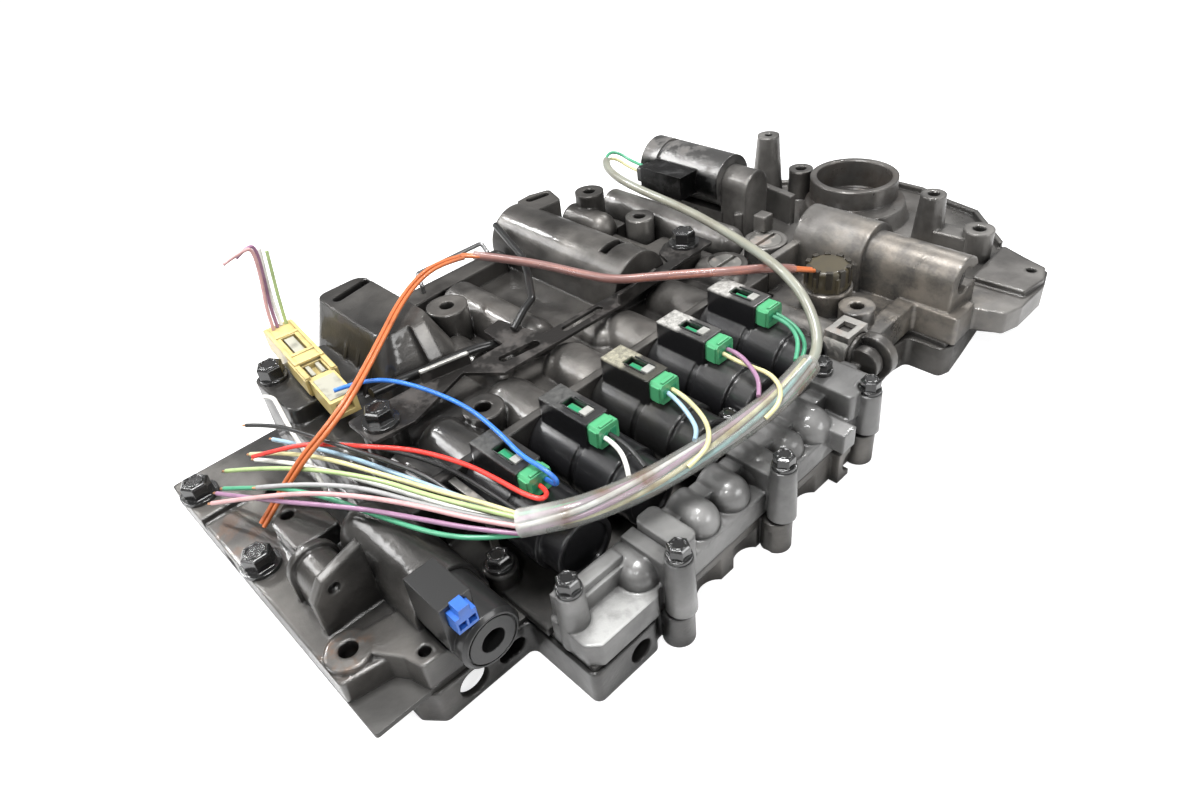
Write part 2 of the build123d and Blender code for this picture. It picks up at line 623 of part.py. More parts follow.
def rear_solenoid():
    can = barrel(rear_x, rear_z, rear_radius, rear_seat, rear_back - 14)
    can += barrel(rear_x, rear_z, rear_radius - 1.2, rear_back - 14, rear_back - 11)
    can += barrel(rear_x, rear_z, rear_radius, rear_back - 11, rear_back)
    nose = barrel(rear_x, rear_z, nose_radius, rear_seat - rear_nose_length, rear_seat + 1)
    moulding = block(rear_plug_x - 7, rear_x - 9, 64, 94, rear_z - 5, rear_z + 8)
    socket = block(rear_plug_x - 5, rear_plug_x + 5, 86, 95, rear_z - 3, rear_z + 6)
    return can + nose + moulding - socket


def rear_plug():
    body = block(rear_plug_x - 4.8, rear_plug_x + 4.8, 86, rear_plug_back, rear_z - 2.8, rear_z + 5.8)
    return chamfer(body.edges().filter_by(Axis.Y), 0.8)


write("shift_solenoid", shift_solenoid())
write("shift_plug", shift_plug())
write("rear_solenoid", rear_solenoid())
write("rear_plug", rear_plug())


def harness_bracket():
    """The pressed plate that carries the harness: a long strip with two slots and upturned edges."""
    level = bracket_level
    top = level + bracket_thickness
    outline = [(-138, 17), (-120, 15), (-89, 26), (-78, 12), (-12, 10), (15, 12.5), (34, 14), (58, 15),
               (58, 32),
               (42, 33), (34, 29), (30, 19.3), (-8, 19.3), (-49, 21), (-54, 46), (-64, 44), (-65, 29),
               (-83, 29.5), (-104, 34.2), (-138, 36)]
    plate = slab(outline, level, top, 1.2)
    plate -= slot(-64, 19, 20, 5, level - 1, top + 1, -8)
    plate -= slot(-30, 16, 24, 4, level - 1, top + 1, 0)
    plate += slab([(-104, 32.6), (-83, 27.9), (-83, 29.5), (-104, 34.2)], level, top + 6)
    plate += slab([(-12, 10), (15, 12.5), (15, 14.1), (-12, 11.6)], level, top + 5)
    for x, y in bracket_bolt_places:
        plate -= upright(x, y, bolt_hole / 2, level - 1, top + 1)
    return plate


clip_rod = 3.4


def wire_clip():
    """A bent steel rod that stands on the bracket and holds the harness up."""
    foot = bracket_level + bracket_thickness + clip_rod / 2 + 0.1
    points = [(-56.5, 31.8, foot), (-46.8, 35.4, 58), (-39.8, 37.6, 59.5), (-26.4, 56.2, 60),
              (-17.4, 70.7, 60),
              (-5.7, 106, 62)]
    return round_bar(points, clip_rod, 4.0)


def round_bar(points, diameter, radius):
    path = FilletPolyline(*points, radius=radius)
    section = Plane(origin=path @ 0, z_dir=path % 0) * Circle(diameter / 2)
    return sweep(section, path)


def edge_clip():
    """The wire bail that stands along the back edge, with both ends on the ledge."""
    rise = ledge_top + 7.0
    points = [(-58, 101, ledge_top), (-58, 101, ledge_top + 4), (-55.5, 107.5, rise), (-16, 106.8, rise),
              (-17.5, 100, ledge_top + 4), (-17.5, 100, ledge_top)]
    return round_bar(points, 2.2, 1.6)


def bore_clip():
    """The folded retainer astride the small valve barrel, with a square window."""
    inner_radius = bore_clip_radius + bore_clip_gap
    outer = hump(bore_clip_x, bore_clip_z, inner_radius + bore_clip_sheet, -74, -62, port_top)
    inner = hump(bore_clip_x, bore_clip_z, inner_radius, -75, -61, port_top - 1)
    crown = bore_clip_z + inner_radius
    tab = block(bore_clip_x - 7.5, bore_clip_x + 7.5, -74, -62, crown - 2, crown + bore_clip_sheet)
    window = block(bore_clip_x - 3.5, bore_clip_x + 3.5, -71, -65, crown - 3, crown + 5)
    below = block(bore_clip_x - 20, bore_clip_x + 20, -80, -60, 0, port_top)
    return outer + tab - inner - window - below


def solenoid_retainer():
    """The spring strip beside the last pressure solenoid, from the bank wall down to the bay floor."""
    back, front, sheet = bay_back - 4.0, -38.0, 1.2
    points = [(back, 48 - sheet), (back, 48), (front, 48), (front, bay_floor), (front + sheet, bay_floor),
              (front + sheet, 48 - sheet)]
    face = Plane.YZ * make_face(Polyline(*points, close=True))
    return Pos(last_solenoid_x - 17.4, 0, 0) * extrude(face, 3.0)


write("harness_bracket", harness_bracket())
write("wire_clip", wire_clip())
write("edge_clip", edge_clip())
write("bore_clip", bore_clip())
write("solenoid_retainer", solenoid_retainer())


def temperature_sensor():
    x, y = sensor_place
    body = upright(x, y, sensor_radius, sensor_seat, sensor_top)
    body = fillet(body.edges().group_by(Axis.Z)[-1], 2.0)
    body += upright(x, y, sensor_radius - 2.6, sensor_seat - 9, sensor_seat)
    for angle in range(0, 360, 60):
        rib_x = x + (sensor_radius - 0.4) * cos(radians(angle))
        rib_y = y + (sensor_radius - 0.4) * sin(radians(angle))
        body += upright(rib_x, rib_y, 1.3, sensor_seat, sensor_top - 3)
    return body


connector_back = (-124.5, 119.0)
connector_front = (-133.0, 45.5)
connector_width = 13.5
connector_height = 10.0
connector_floor = back_bolt[2]


def harness_connector():
    """The cream housing: a wide rear half, a narrower front half and two windows that show the latches."""
    run_x = connector_back[0] - connector_front[0]
    run_y = connector_back[1] - connector_front[1]
    length = hypot(run_x, run_y)
    half = connector_width / 2
    body = block(-half, half, length * 0.48, length, 0, connector_height)
    body += block(-half + 1.2, half - 1.2, 0, length * 0.5, 0, connector_height - 1.5)
    body += block(-half, -half + 2, length * 0.3, length * 0.5, 1, connector_height)
    body += block(half - 2, half, length * 0.3, length * 0.52, 1, connector_height)
    body -= block(-3.2, 3.2, length * 0.6, length * 0.82, connector_height - 3, connector_height + 1)
    body -= block(-4, 4, length * 0.32, length * 0.46, connector_height - 4, connector_height + 1)
    body -= block(-3.4, 3.4, -1, length * 0.12, 2, connector_height - 3)
    turn = degrees(atan2(-run_x, run_y))
    return Pos(connector_front[0], connector_front[1], connector_floor) * Rot(0, 0, turn) * body


write("temperature_sensor", temperature_sensor())
write("harness_connector", harness_connector())

cover_bolts = [hex_bolt(x, y, top, 4.0, cover_thread, cover_across, cover_head, cover_washer_radius)
               for x, y, top in cover_bolt_places]
cover_bolts.append(hex_bolt(*gap_bolt, 4.0, cover_thread, 7.0, 4.0, gap_bolt_radius))
write("cover_bolts", *cover_bolts)
body_bolts = [hex_bolt(x, y, flange_top, lower_height, bolt_thread, bolt_across, bolt_head,
                       washer_face_radius)
              for x, y in left_bolt_places]
body_bolts.append(hex_bolt(*back_bolt, 32, bolt_thread, bolt_across, bolt_head, back_bolt_washer))
body_bolts.append(hex_bolt(*valley_bolt, body_floor + 2, bolt_thread, 8.0, 4.0, 5.2))
write("body_bolts", *body_bolts)
bracket_bolts = [hex_bolt(x, y, bracket_level + bracket_thickness, bracket_level - 15, bolt_thread,
                          bolt_across, bolt_head, washer_face_radius) for x, y in bracket_bolt_places]
write("bracket_bolts", *bracket_bolts)


def screw_plug(x, y, top):
    plug = upright(x, y, screw_plug_radius, top - screw_plug_depth, top)
    return plug - block(x - screw_plug_radius, x + screw_plug_radius, y - 1, y + 1, top - 2, top + 1)


write("screw_plugs", *[screw_plug(*place) for place in screw_plug_places])

# The spool valves in the lower casting, each with its spring, plug and pin
spool_back = spool_bore_end - slide_clearance
spool_front = spool_back - spool_length
spool_plug_back = spool_plug_front + spool_plug_length
spool_land = 7.0
spool_neck = 2.8


def spool_valve(x):
    """Three lands on a thinner stem."""
    valve = barrel(x, spool_bore_z, spool_neck, spool_front, spool_back)
    for share in (0.0, 0.5, 1.0):
        front = spool_front + share * (spool_length - spool_land)
        valve += barrel(x, spool_bore_z, spool_radius, front, front + spool_land)
    return valve


for number, x in enumerate(spool_places, start=1):
    write("spool_valve_" + str(number), spool_valve(x))
    write("spool_spring_" + str(number),
          coil_spring(x, spool_bore_z, 3.4, 1.2, spool_plug_back, spool_front, 4))

cap_back = accumulator_back - cap_setback
piston_back = cap_back - cap_thickness
piston_front = piston_back - piston_length
accumulator_floor = accumulator_front + accumulator_wall


def accumulator_piston():
    """A cup that opens towards its spring."""
    radius = piston_bore - slide_clearance
    piston = barrel(accumulator_x, accumulator_z, radius, piston_front, piston_back - slide_clearance)
    return piston - barrel(accumulator_x, accumulator_z, radius - piston_wall, piston_front - 1,
                           piston_back - 4)


spring_seat = piston_back - 4
write("accumulator_piston", accumulator_piston())
write("accumulator_spring", coil_spring(accumulator_x, accumulator_z, 8.6, spring_wire, accumulator_floor,
                                        spring_seat, 6))
bore_plugs = [barrel(x, spool_bore_z, spool_radius + slide_clearance - fit_clearance, spool_plug_front,
                     spool_plug_back) for x in spool_places]
bore_plugs.append(barrel(accumulator_x, accumulator_z, piston_bore - fit_clearance, piston_back, cap_back))
write("bore_plugs", *bore_plugs)
snap_ring = barrel(accumulator_x, accumulator_z, piston_bore - fit_clearance, cap_back, cap_back + 1.5)
snap_ring -= barrel(accumulator_x, accumulator_z, piston_bore - 2.4, cap_back - 1, cap_back + 3)
snap_ring -= block(accumulator_x - 3, accumulator_x + 3, cap_back - 1, cap_back + 3, accumulator_z + 4,
                   accumulator_z + 20)
write("snap_ring", snap_ring)
write("retaining_pins", *[upright(x, spool_plug_front - pin_radius, pin_radius, 1.2, lower_height)
                          for x in spool_places])
write("check_balls", *[Pos(x, y, body_floor + ball_radius + fit_clearance) * Sphere(ball_radius)
                       for x, y in ball_places])


def manual_valve():
    """The selector spool: three lands, and a grooved head at the mouth for the lever's pin."""
    radius = manual_bore - slide_clearance
    back = manual_valve_front + manual_valve_length
    valve = barrel(manual_x, manual_z, radius - 2.4, manual_valve_front, back)
    for front, end in ((0, 3), (8, 18), (26, 36), (manual_valve_length - 9, manual_valve_length)):
        valve += barrel(manual_x, manual_z, radius, manual_valve_front + front, manual_valve_front + end)
    return valve


write("manual_valve", manual_valve())

# Leads: diameters, and where the sleeves begin and end
wire = 1.8
connector_wire = 1.6
sleeve_diameter = 10.0
rear_sleeve_diameter = 4.4
sensor_sleeve_diameter = 4.2
conduit_diameter = 4.6


def lead(points, diameter):
    """A round lead along straight runs joined by arcs as large as the runs allow."""
    runs = [Vector(b[0] - a[0], b[1] - a[1], b[2] - a[2]) for a, b in zip(points, points[1:])]
    radii = []
    for before, after in zip(runs, runs[1:]):
        turn = radians(before.get_angle(after))
        radii.append(0.45 * min(before.length, after.length) / tan(turn / 2))
    path = FilletPolyline(*points, radius=radii)
    section = Plane(origin=path @ 0, z_dir=path % 0) * Circle(diameter / 2)
    tube = sweep(section, path)
    ratio = tube.volume / (path.length * pi * diameter ** 2 / 4)
    print("lead", round(path.length, 1), "mm, smallest radius", round(min(radii), 1), "ratio",
          round(ratio, 3))
    return tube


main_sleeve = [(-127, -56, 50.5), (-117, -67, 53.5), (-104, -73, 53.3), (-87, -77.5, 52.5),
               (-65, -80.5, 51.8),
               (-42, -82.5, 51.3), (-18, -83, 51.5), (1, -80, 52)]
rear_sleeve = [(1, -80, 52), (8, -78.9, 52.2), (17, -73, 57), (25, -61, 64), (32, -46, 67), (39, -28, 67.5),
               (49, -5, 65), (58, 24, 64), (63, 48, 63), (66, 72, 63), (69, 92, 64), (75, 106, 65),
               (84, 115, 63)]
sensor_sleeve = [(-39, 79, 68), (-30, 66, 66), (-21, 50, 64), (-14, 32, 62), (-8, 17, 61), (3, 4, 62),
                 (16, -13, 63.5), (27, -26, 64), (38, -33, 62.5), (50, -37, 58), (63.5, -39.5, 52)]
write("main_sleeve", lead(main_sleeve, sleeve_diameter))
write("rear_sleeve", lead(rear_sleeve, rear_sleeve_diameter))
write("sensor_sleeve", lead(sensor_sleeve, sensor_sleeve_diameter))

# The cut wires that fan out of the left end of the main sleeve
cut_wires = {
    "cut_wire_yellow": [(-125.7, -54.6, 52.6), (-131, -42, 54), (-138, -26, 54.5), (-145, -3, 53),
                        (-153, 26, 50),
                        (-161, 53, 43), (-168, 72, 36)],
    "cut_wire_lime": [(-127, -56, 53), (-134, -44, 55), (-142, -27, 56), (-149, -3, 54.5), (-160, 29, 48),
                      (-172, 57, 40), (-179, 73, 34)],
    "cut_wire_white": [(-126.3, -55.3, 48), (-133, -43.5, 50.3), (-140.5, -27, 51.6), (-148, -3, 50.5),
                       (-156, 26, 46.5), (-163, 48, 42.5), (-169, 63, 39)],
    "cut_wire_sky": [(-124.7, -53.5, 49.4), (-130, -41.5, 51.5), (-135.5, -26, 52.5), (-141, -3, 51),
                     (-147, 26, 47.5), (-153, 51, 42.5), (-158, 70, 38.5)],
    "cut_wire_grey": [(-127, -56, 50.6), (-135.5, -43.5, 52.5), (-144.5, -26, 53), (-153, -4, 53),
                      (-161, 12, 51),
                      (-169, 28, 47), (-177, 41.5, 43)],
    "cut_wire_green": [(-128, -57.1, 46.6), (-138.5, -50.5, 48.5), (-148, -39, 50), (-156, -18, 50.2),
                       (-163, 6, 49.5), (-170, 29, 45), (-176, 46, 39.5), (-184, 64, 33.5)],
    "cut_wire_purple": [(-129.2, -58.4, 49), (-139, -47.5, 51.3), (-149.5, -30, 53), (-160, -9.5, 52.5),
                        (-170.5, 14, 47.5), (-178, 36, 41), (-187, 65, 32.5)],
    "cut_wire_pink": [(-128.7, -57.9, 51.6), (-137.5, -46.5, 54), (-147, -28.5, 56), (-157, -9, 55.5),
                      (-167, 12, 51.5), (-178, 34, 44), (-191, 59, 34)],
    "cut_wire_black": [(-125.7, -54.5, 46.6), (-131.5, -42, 45.5), (-133, -27, 49.3), (-135.5, -15, 53.3),
                       (-141, 0, 55.4), (-147.5, 17.5, 56), (-152.5, 39.5, 54), (-157, 62, 50),
                       (-163.6, 77, 46)],
}
# A second white wire is cut short and hooks up beside the back bolt
white_stub = [(-157, 30, flange_top), (-157, 30, 33), (-156, 38, 38.5), (-154.5, 46, 42.5),
              (-153.8, 54, 46.5),
              (-152.2, 63, 48.8), (-149.8, 74, 49.5), (-148.4, 81.5, 49.6), (-151.2, 84.6, 49.5)]
for name, points in cut_wires.items():
    wires = [lead(points, wire)]
    if name == "cut_wire_white":
        wires.append(lead(white_stub, wire))
    write(name, *wires)

# The two orange wires of the sensor, side by side up to their sleeve
orange_gap = 2.3
orange_route = [(-182, 38, 30), (-175, 37.5, 36), (-168, 36, 43), (-159, 32, 53), (-150, 29, 60),
                (-139, 30, 65.5),
                (-125, 38, 68.5), (-106, 53, 70), (-87, 69, 70.5), (-70, 80, 70.5), (-55, 84.5, 70),
                (-44, 82, 69)]
write("orange_wire_1", lead(orange_route, wire))
write("orange_wire_2", lead([(x, y - orange_gap, z - 0.4) for x, y, z in orange_route], wire))

blue_wire = [(-134.0, 49.0, 59.4), (-125, 44, 61), (-117, 33, 62.4), (-111.5, 14, 63), (-108.5, -8, 63.5),
             (-110, -28, 62.8), (-112.5, -42, 62.4), (-111.6, -53.5, 62), (-110.8, -58.5, 59.6),
             (-110.6, -56.8, 55.8), (-110.6, plug_front, 55.8)]
red_wire = [(-113.5, plug_front, 54.8), (-113.5, -56.2, 54.8), (-118, -58.6, 55.8), (-120.8, -52, 56.6),
            (-122.5, -41, 57.6), (-125, -26, 58), (-132, -4, 57), (-142, 16, 54), (-154, 38, 51.5),
            (-164, 51, 47), (-170, 60, 43)]
black_lead = [(-124.4, -53.2, 51.6), (-124.9, -39, 51.4), (-126.4, -20, 51.8), (-132, 0, 52),
              (-140.5, 19, 52),
              (-148, 36, 49)]
write("blue_wire", lead(blue_wire, wire))
write("red_wire", lead(red_wire, wire))
# The thick black lead that lies along the bracket, from under its arm to its cut end
conduit = [(-61.5, 37, 47.4), (-69.4, 38.2, 49.6), (-78.1, 39.6, 50.5), (-86, 40.7, 50.5), (-99.5, 42.5, 51),
           (-112, 44.1, 52), (-122, 43.6, 53.3)]
write("black_lead", lead(black_lead, wire), lead(conduit, conduit_diameter))

# The leads from plugs 1 to 4 down into the side of the main sleeve, and the two of the rear plug
plug_leads = [
    [(16.8, plug_front, 55.4), (16.8, -57.5, 55.2), (14, -64.5, 54.4), (7.5, -71, 53.6), (-1, -75.3, 53.4)],
    [(19.2, plug_front, 55.4), (19.2, -58, 54.6), (16.5, -66.5, 52.4), (9.5, -73.2, 50.8),
     (0.5, -75.6, 50.2)],
    [(-13.5, plug_front, 55.6), (-14, -57.5, 56.4), (-18.5, -67, 56.8), (-23.8, -75.5, 56.4),
     (-30, -79.4, 55.4)],
    [(-16, plug_front, 54.8), (-15.9, -58, 54), (-16.5, -66, 55), (-18.8, -75.5, 57.8), (-23, -83.3, 58.9),
     (-27.5, -87.6, 57.6), (-32.5, -88.6, 55.2), (-36.5, -87.4, 53.2)],
    [(-46.5, plug_front, 55.4), (-47.5, -57.5, 56.2), (-51.5, -67.5, 57.6), (-55.5, -75.5, 58.6),
     (-60.7, -81.9, 58.6), (-66.5, -85, 57), (-74.5, -83.7, 54.4)],
    [(-48.8, plug_front, 55), (-49.6, -57.5, 54.4), (-53.4, -67, 53.6), (-57.4, -73.5, 53.4),
     (-62, -75.9, 53.6)],
    [(-82.4, plug_front, 55.2), (-82.4, -57, 55), (-85.2, -64.8, 53.8), (-89.5, -70.1, 52.6)],
    [(-79.9, plug_front, 55.2), (-79.9, -58, 55.2), (-81.5, -66, 54.8), (-84, -72.8, 54.6)],
    [(84.3, 115.3, 64), (90, 119.6, 64.8), (96.4, 117.6, 63.4), (98.6, 108.5, 58.8),
     (98.6, rear_plug_back, 58.2)],
    [(84.3, 115.3, 62), (89.6, 119.8, 61.2), (95, 117.6, 60), (96.2, 109, 56), (96.2, rear_plug_back, 55.4)],
]
write("plug_leads", *[lead(points, wire) for points in plug_leads])

# The thin leads that rise from the back of the connector; three are folded over at the top
connector_top = connector_floor + connector_height
connector_leads = [
    [(-127.5, 116, connector_top), (-127, 117, 67), (-124, 117.8, 80), (-122.2, 118, 95),
     (-125.5, 117.4, 97.6),
     (-136.5, 117, 95)],
    [(-125.3, 116.5, connector_top), (-124.6, 118.5, 67), (-122, 119.6, 80), (-120.2, 120, 94.6),
     (-123, 119.6, 97.4), (-130, 119, 94.4)],
    [(-123.2, 117, connector_top), (-122.4, 119.8, 68), (-120, 121.4, 82), (-118.4, 122, 93)],
    [(-121.2, 116.2, connector_top), (-120.2, 117.2, 68), (-118, 118.6, 82), (-116.6, 119.2, 92)],
]
write("connector_leads", *[lead(points, connector_wire) for points in connector_leads])
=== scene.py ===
from math import atan2, cos, hypot, pi, radians, sin

import bpy
from mathutils import Matrix, Vector


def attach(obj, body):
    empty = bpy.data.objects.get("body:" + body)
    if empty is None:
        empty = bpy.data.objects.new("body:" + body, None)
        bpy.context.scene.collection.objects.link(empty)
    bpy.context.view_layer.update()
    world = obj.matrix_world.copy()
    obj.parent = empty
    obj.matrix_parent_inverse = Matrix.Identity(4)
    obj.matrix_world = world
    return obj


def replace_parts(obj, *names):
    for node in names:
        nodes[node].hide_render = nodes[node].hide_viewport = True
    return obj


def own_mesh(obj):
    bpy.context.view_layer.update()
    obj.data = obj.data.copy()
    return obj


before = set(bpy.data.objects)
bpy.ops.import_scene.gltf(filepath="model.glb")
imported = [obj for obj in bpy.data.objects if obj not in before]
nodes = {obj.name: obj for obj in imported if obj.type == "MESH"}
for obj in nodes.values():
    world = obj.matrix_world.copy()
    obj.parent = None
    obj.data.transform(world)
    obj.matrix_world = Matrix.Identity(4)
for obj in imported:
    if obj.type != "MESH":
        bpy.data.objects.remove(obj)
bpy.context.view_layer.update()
mm = 0.001


# Shader building blocks

def new_material(name):
    material = bpy.data.materials.new(name)
    material.use_nodes = True
    tree = material.node_tree
    return material, tree, tree.nodes["Principled BSDF"]


def set_inputs(shader, **values):
    for name, value in values.items():
        shader.inputs[name.replace("_", " ")].default_value = value


def position(tree):
    return tree.nodes.new("ShaderNodeTexCoord").outputs["Object"]


def noise(tree, scale, detail=3.0, rough=0.55):
    """A noise value in object space; scale is in features per metre."""
    node = tree.nodes.new("ShaderNodeTexNoise")
    node.inputs["Scale"].default_value = scale
    node.inputs["Detail"].default_value = detail
    node.inputs["Roughness"].default_value = rough
    tree.links.new(position(tree), node.inputs["Vector"])
    return node.outputs["Fac"]


def ramp(tree, value, low, high, start=0.0, end=1.0):
    """value from low..high mapped to start..end, clamped."""
    node = tree.nodes.new("ShaderNodeMapRange")
    node.inputs["From Min"].default_value = low
    node.inputs["From Max"].default_value = high
    node.inputs["To Min"].default_value = start
    node.inputs["To Max"].default_value = end
    tree.links.new(value, node.inputs["Value"])
    return node.outputs["Result"]


def times(tree, one, two):
    """The product of two values, each a number or a socket."""
    node = tree.nodes.new("ShaderNodeMath")
    node.operation = "MULTIPLY"
    for value, socket in ((one, node.inputs[0]), (two, node.inputs[1])):
        if isinstance(value, float):
            socket.default_value = value
        else:
            tree.links.new(value, socket)
    return node.outputs[0]


# Numbers of the mix node's colour sockets
mix_first = 6
mix_second = 7
mix_result = 2


def mix_color(tree, factor, one, two):
    """The first colour at factor 0 and the second at 1, each a tuple or a socket."""
    node = tree.nodes.new("ShaderNodeMix")
    node.data_type = "RGBA"
    tree.links.new(factor, node.inputs["Factor"])
    for value, socket in ((one, node.inputs[mix_first]), (two, node.inputs[mix_second])):
        if isinstance(value, tuple):
            socket.default_value = (*value, 1.0)
        else:
            tree.links.new(value, socket)
    return node.outputs[mix_result]


def darker(color, share):
    return tuple(share * value for value in color)


def facing_up(tree):
    """One on faces that look up, zero on walls and undersides."""
    geometry = tree.nodes.new("ShaderNodeNewGeometry")
    split = tree.nodes.new("ShaderNodeSeparateXYZ")
    tree.links.new(geometry.outputs["Normal"], split.inputs[0])
    return ramp(tree, split.outputs["Z"], low=0.5, high=0.95)


def near(tree, place, radius, fade):
    """One within radius of a place in millimetres, falling to zero over the next stretch."""
    node = tree.nodes.new("ShaderNodeVectorMath")
    node.operation = "DISTANCE"
    tree.links.new(position(tree), node.inputs[0])
    node.inputs[1].default_value = tuple(value * mm for value in place)
    return ramp(tree, node.outputs["Value"], low=radius * mm, high=(radius + fade) * mm, start=1.0, end=0.0)


def along(tree, axis, low, high):
    """Zero below low and one above high, in millimetres along an axis, or the reverse if low is larger."""
    split = tree.nodes.new("ShaderNodeSeparateXYZ")
    tree.links.new(position(tree), split.inputs[0])
    return ramp(tree, split.outputs[axis], low * mm, high * mm)


def corners(tree, reach):
    """One deep in corners and slots, zero on open faces, from ambient occlusion; the finishes paint shade
    with it; reach is in millimetres.
    """
    node = tree.nodes.new("ShaderNodeAmbientOcclusion")
    node.samples = 3
    node.inputs["Distance"].default_value = reach * mm
    return ramp(tree, node.outputs["AO"], low=0.8, high=0.25)


def patchy(tree, mask, scale=90.0, low=0.42, high=0.6):
    """A mask broken up into patches."""
    patches = ramp(tree, noise(tree, scale, detail=6.0, rough=0.65), low, high)
    return times(tree, mask, patches)


grain_height = 0.4
wave_height = 1.0
waves_per_metre = 90.0


def bump(tree, strength, height, pattern, normal):
    """A normal that follows a pattern; height is in millimetres."""
    node = tree.nodes.new("ShaderNodeBump")
    node.inputs["Strength"].default_value = strength
    node.inputs["Distance"].default_value = height * mm
    tree.links.new(pattern, node.inputs["Height"])
    tree.links.new(normal, node.inputs["Normal"])
    return node.outputs[0]


def soft_edges(tree, shader, edge, grain, grain_scale, waves=0.0):
    """Edges rounded by so many millimetres, a fine grain below, and slow waves in the film on top."""
    bevel = tree.nodes.new("ShaderNodeBevel")
    bevel.samples = 5
    bevel.inputs["Radius"].default_value = edge * mm
    rounded = bevel.outputs[0]
    grained = bump(tree, grain, grain_height, noise(tree, grain_scale, detail=4.0), rounded)
    tree.links.new(grained, shader.inputs["Normal"])
    film = rounded
    if waves:
        film = bump(tree, waves, wave_height, noise(tree, waves_per_metre, detail=2.0), rounded)
    tree.links.new(film, shader.inputs["Coat Normal"])


# Kinds of finish

# Black for the thick oil in the middle and for painted shade in corners, then the strength and reach of that
# painted corner shade
soot_and_shade = (0.008, 0.008, 0.008)
corner_shade_strength = 0.85
corner_shade_reach = 9.0
pool_strength = 0.5
pool_shade = 0.45
drained_share = 0.35
rougher = 0.12
smoother = 0.14


def cast_surface(name, dark, light, oil, rough, stains=(), metal=0.6, waves=0.3, wet=None):
    """Die-cast alloy: blotchy grey, darker where oil has pooled, with painted shade that blackens it in
    corners and slots, under a film of oil.

    A stain is a tint, its strength and its mask. The mask wet thins the film where it is low.
    """
    material, tree, shader = new_material(name)
    blotch = ramp(tree, noise(tree, scale=38.0, detail=5.0), low=0.35, high=0.68)
    pool = ramp(tree, noise(tree, scale=14.0, detail=2.0), low=0.45, high=0.62)
    color = mix_color(tree, blotch, dark, light)
    color = mix_color(tree, times(tree, pool, pool_strength), color, darker(dark, pool_shade))
    for tint, amount, mask in stains:
        color = mix_color(tree, times(tree, mask(tree), amount), color, tint)
    # Painted shade: corners and slots darkened towards black, where shade falls
    color = mix_color(tree, times(tree, corners(tree, corner_shade_reach), corner_shade_strength), color, soot_and_shade)
    tree.links.new(color, shader.inputs["Base Color"])
    polish = noise(tree, scale=60.0, detail=4.0)
    roughness = ramp(tree, polish, low=0.3, high=0.7, start=rough + rougher, end=rough - smoother)
    tree.links.new(roughness, shader.inputs["Roughness"])
    coat = ramp(tree, noise(tree, scale=25.0), low=0.38, high=0.6, start=drained_share * oil, end=oil)
    if wet:
        coat = times(tree, coat, wet(tree))
    tree.links.new(coat, shader.inputs["Coat Weight"])
    set_inputs(shader, Metallic=metal, Coat_Roughness=0.06, Coat_IOR=1.6)
    soft_edges(tree, shader, edge=1.8, grain=0.2, grain_scale=900.0, waves=waves)
    return material


# How strongly painted shade darkens corners, and the darker tint used for both the grime and that painted
# shade
corner_shade = 0.8
dirt_and_shade_share = 0.25
dirt_and_shade_base = 0.01


def plain(name, color, rough, metallic=0.0, coat=0.0, edge=0.4, grain=0.08, dirt=0.3, reach=0.0):
    """One colour with a little dirt, and painted shade in corners that are within reach, in millimetres."""
    material, tree, shader = new_material(name)
    grime = ramp(tree, noise(tree, scale=120.0, detail=5.0), low=0.5, high=0.75)
    dirt_and_shade = tuple(dirt_and_shade_share * value + dirt_and_shade_base for value in color)
    tinted = mix_color(tree, times(tree, grime, dirt), color, dirt_and_shade)
    if reach:
        # Painted shade: corners within reach darkened, where shade falls
        tinted = mix_color(tree, times(tree, corners(tree, reach), corner_shade), tinted, dirt_and_shade)
    tree.links.new(tinted, shader.inputs["Base Color"])
    set_inputs(shader, Roughness=rough, Metallic=metallic, Coat_Weight=coat, Coat_Roughness=0.1)
    soft_edges(tree, shader, edge, grain, grain_scale=700.0)
    return material


moulding_top = 60.0
window_back = -31.5
dust_in_front = 0.12
dust_trace = 0.06
dust_rough = 0.8


def dusty(name, color, dust, amount, rough):
    """Black satin steel, with dried dust on top of the moulding behind its window, and a trace elsewhere."""
    material, tree, shader = new_material(name)
    patches = ramp(tree, noise(tree, scale=520.0, detail=8.0, rough=0.8), low=0.28, high=0.66)
    height = along(tree, "Z", moulding_top - 1.2, moulding_top - 0.4)
    behind = along(tree, "Y", window_back - 1.0, window_back + 1.0)
    share = ramp(tree, behind, low=0.0, high=1.0, start=dust_in_front, end=1.0)
    on_top = times(tree, times(tree, times(tree, patches, height), share), amount)
    trace = times(tree, patchy(tree, facing_up(tree), scale=70.0), dust_trace)
    tinted = mix_color(tree, trace, color, dust)
    tree.links.new(mix_color(tree, on_top, tinted, dust), shader.inputs["Base Color"])
    roughness = ramp(tree, on_top, low=0.0, high=0.6, start=rough, end=dust_rough)
    tree.links.new(roughness, shader.inputs["Roughness"])
    set_inputs(shader, Coat_Weight=0.6, Coat_Roughness=0.12)
    soft_edges(tree, shader, edge=1.4, grain=0.1, grain_scale=700.0, waves=0.08)
    return material


fleck_shade = 0.4
rust_rough = 0.75


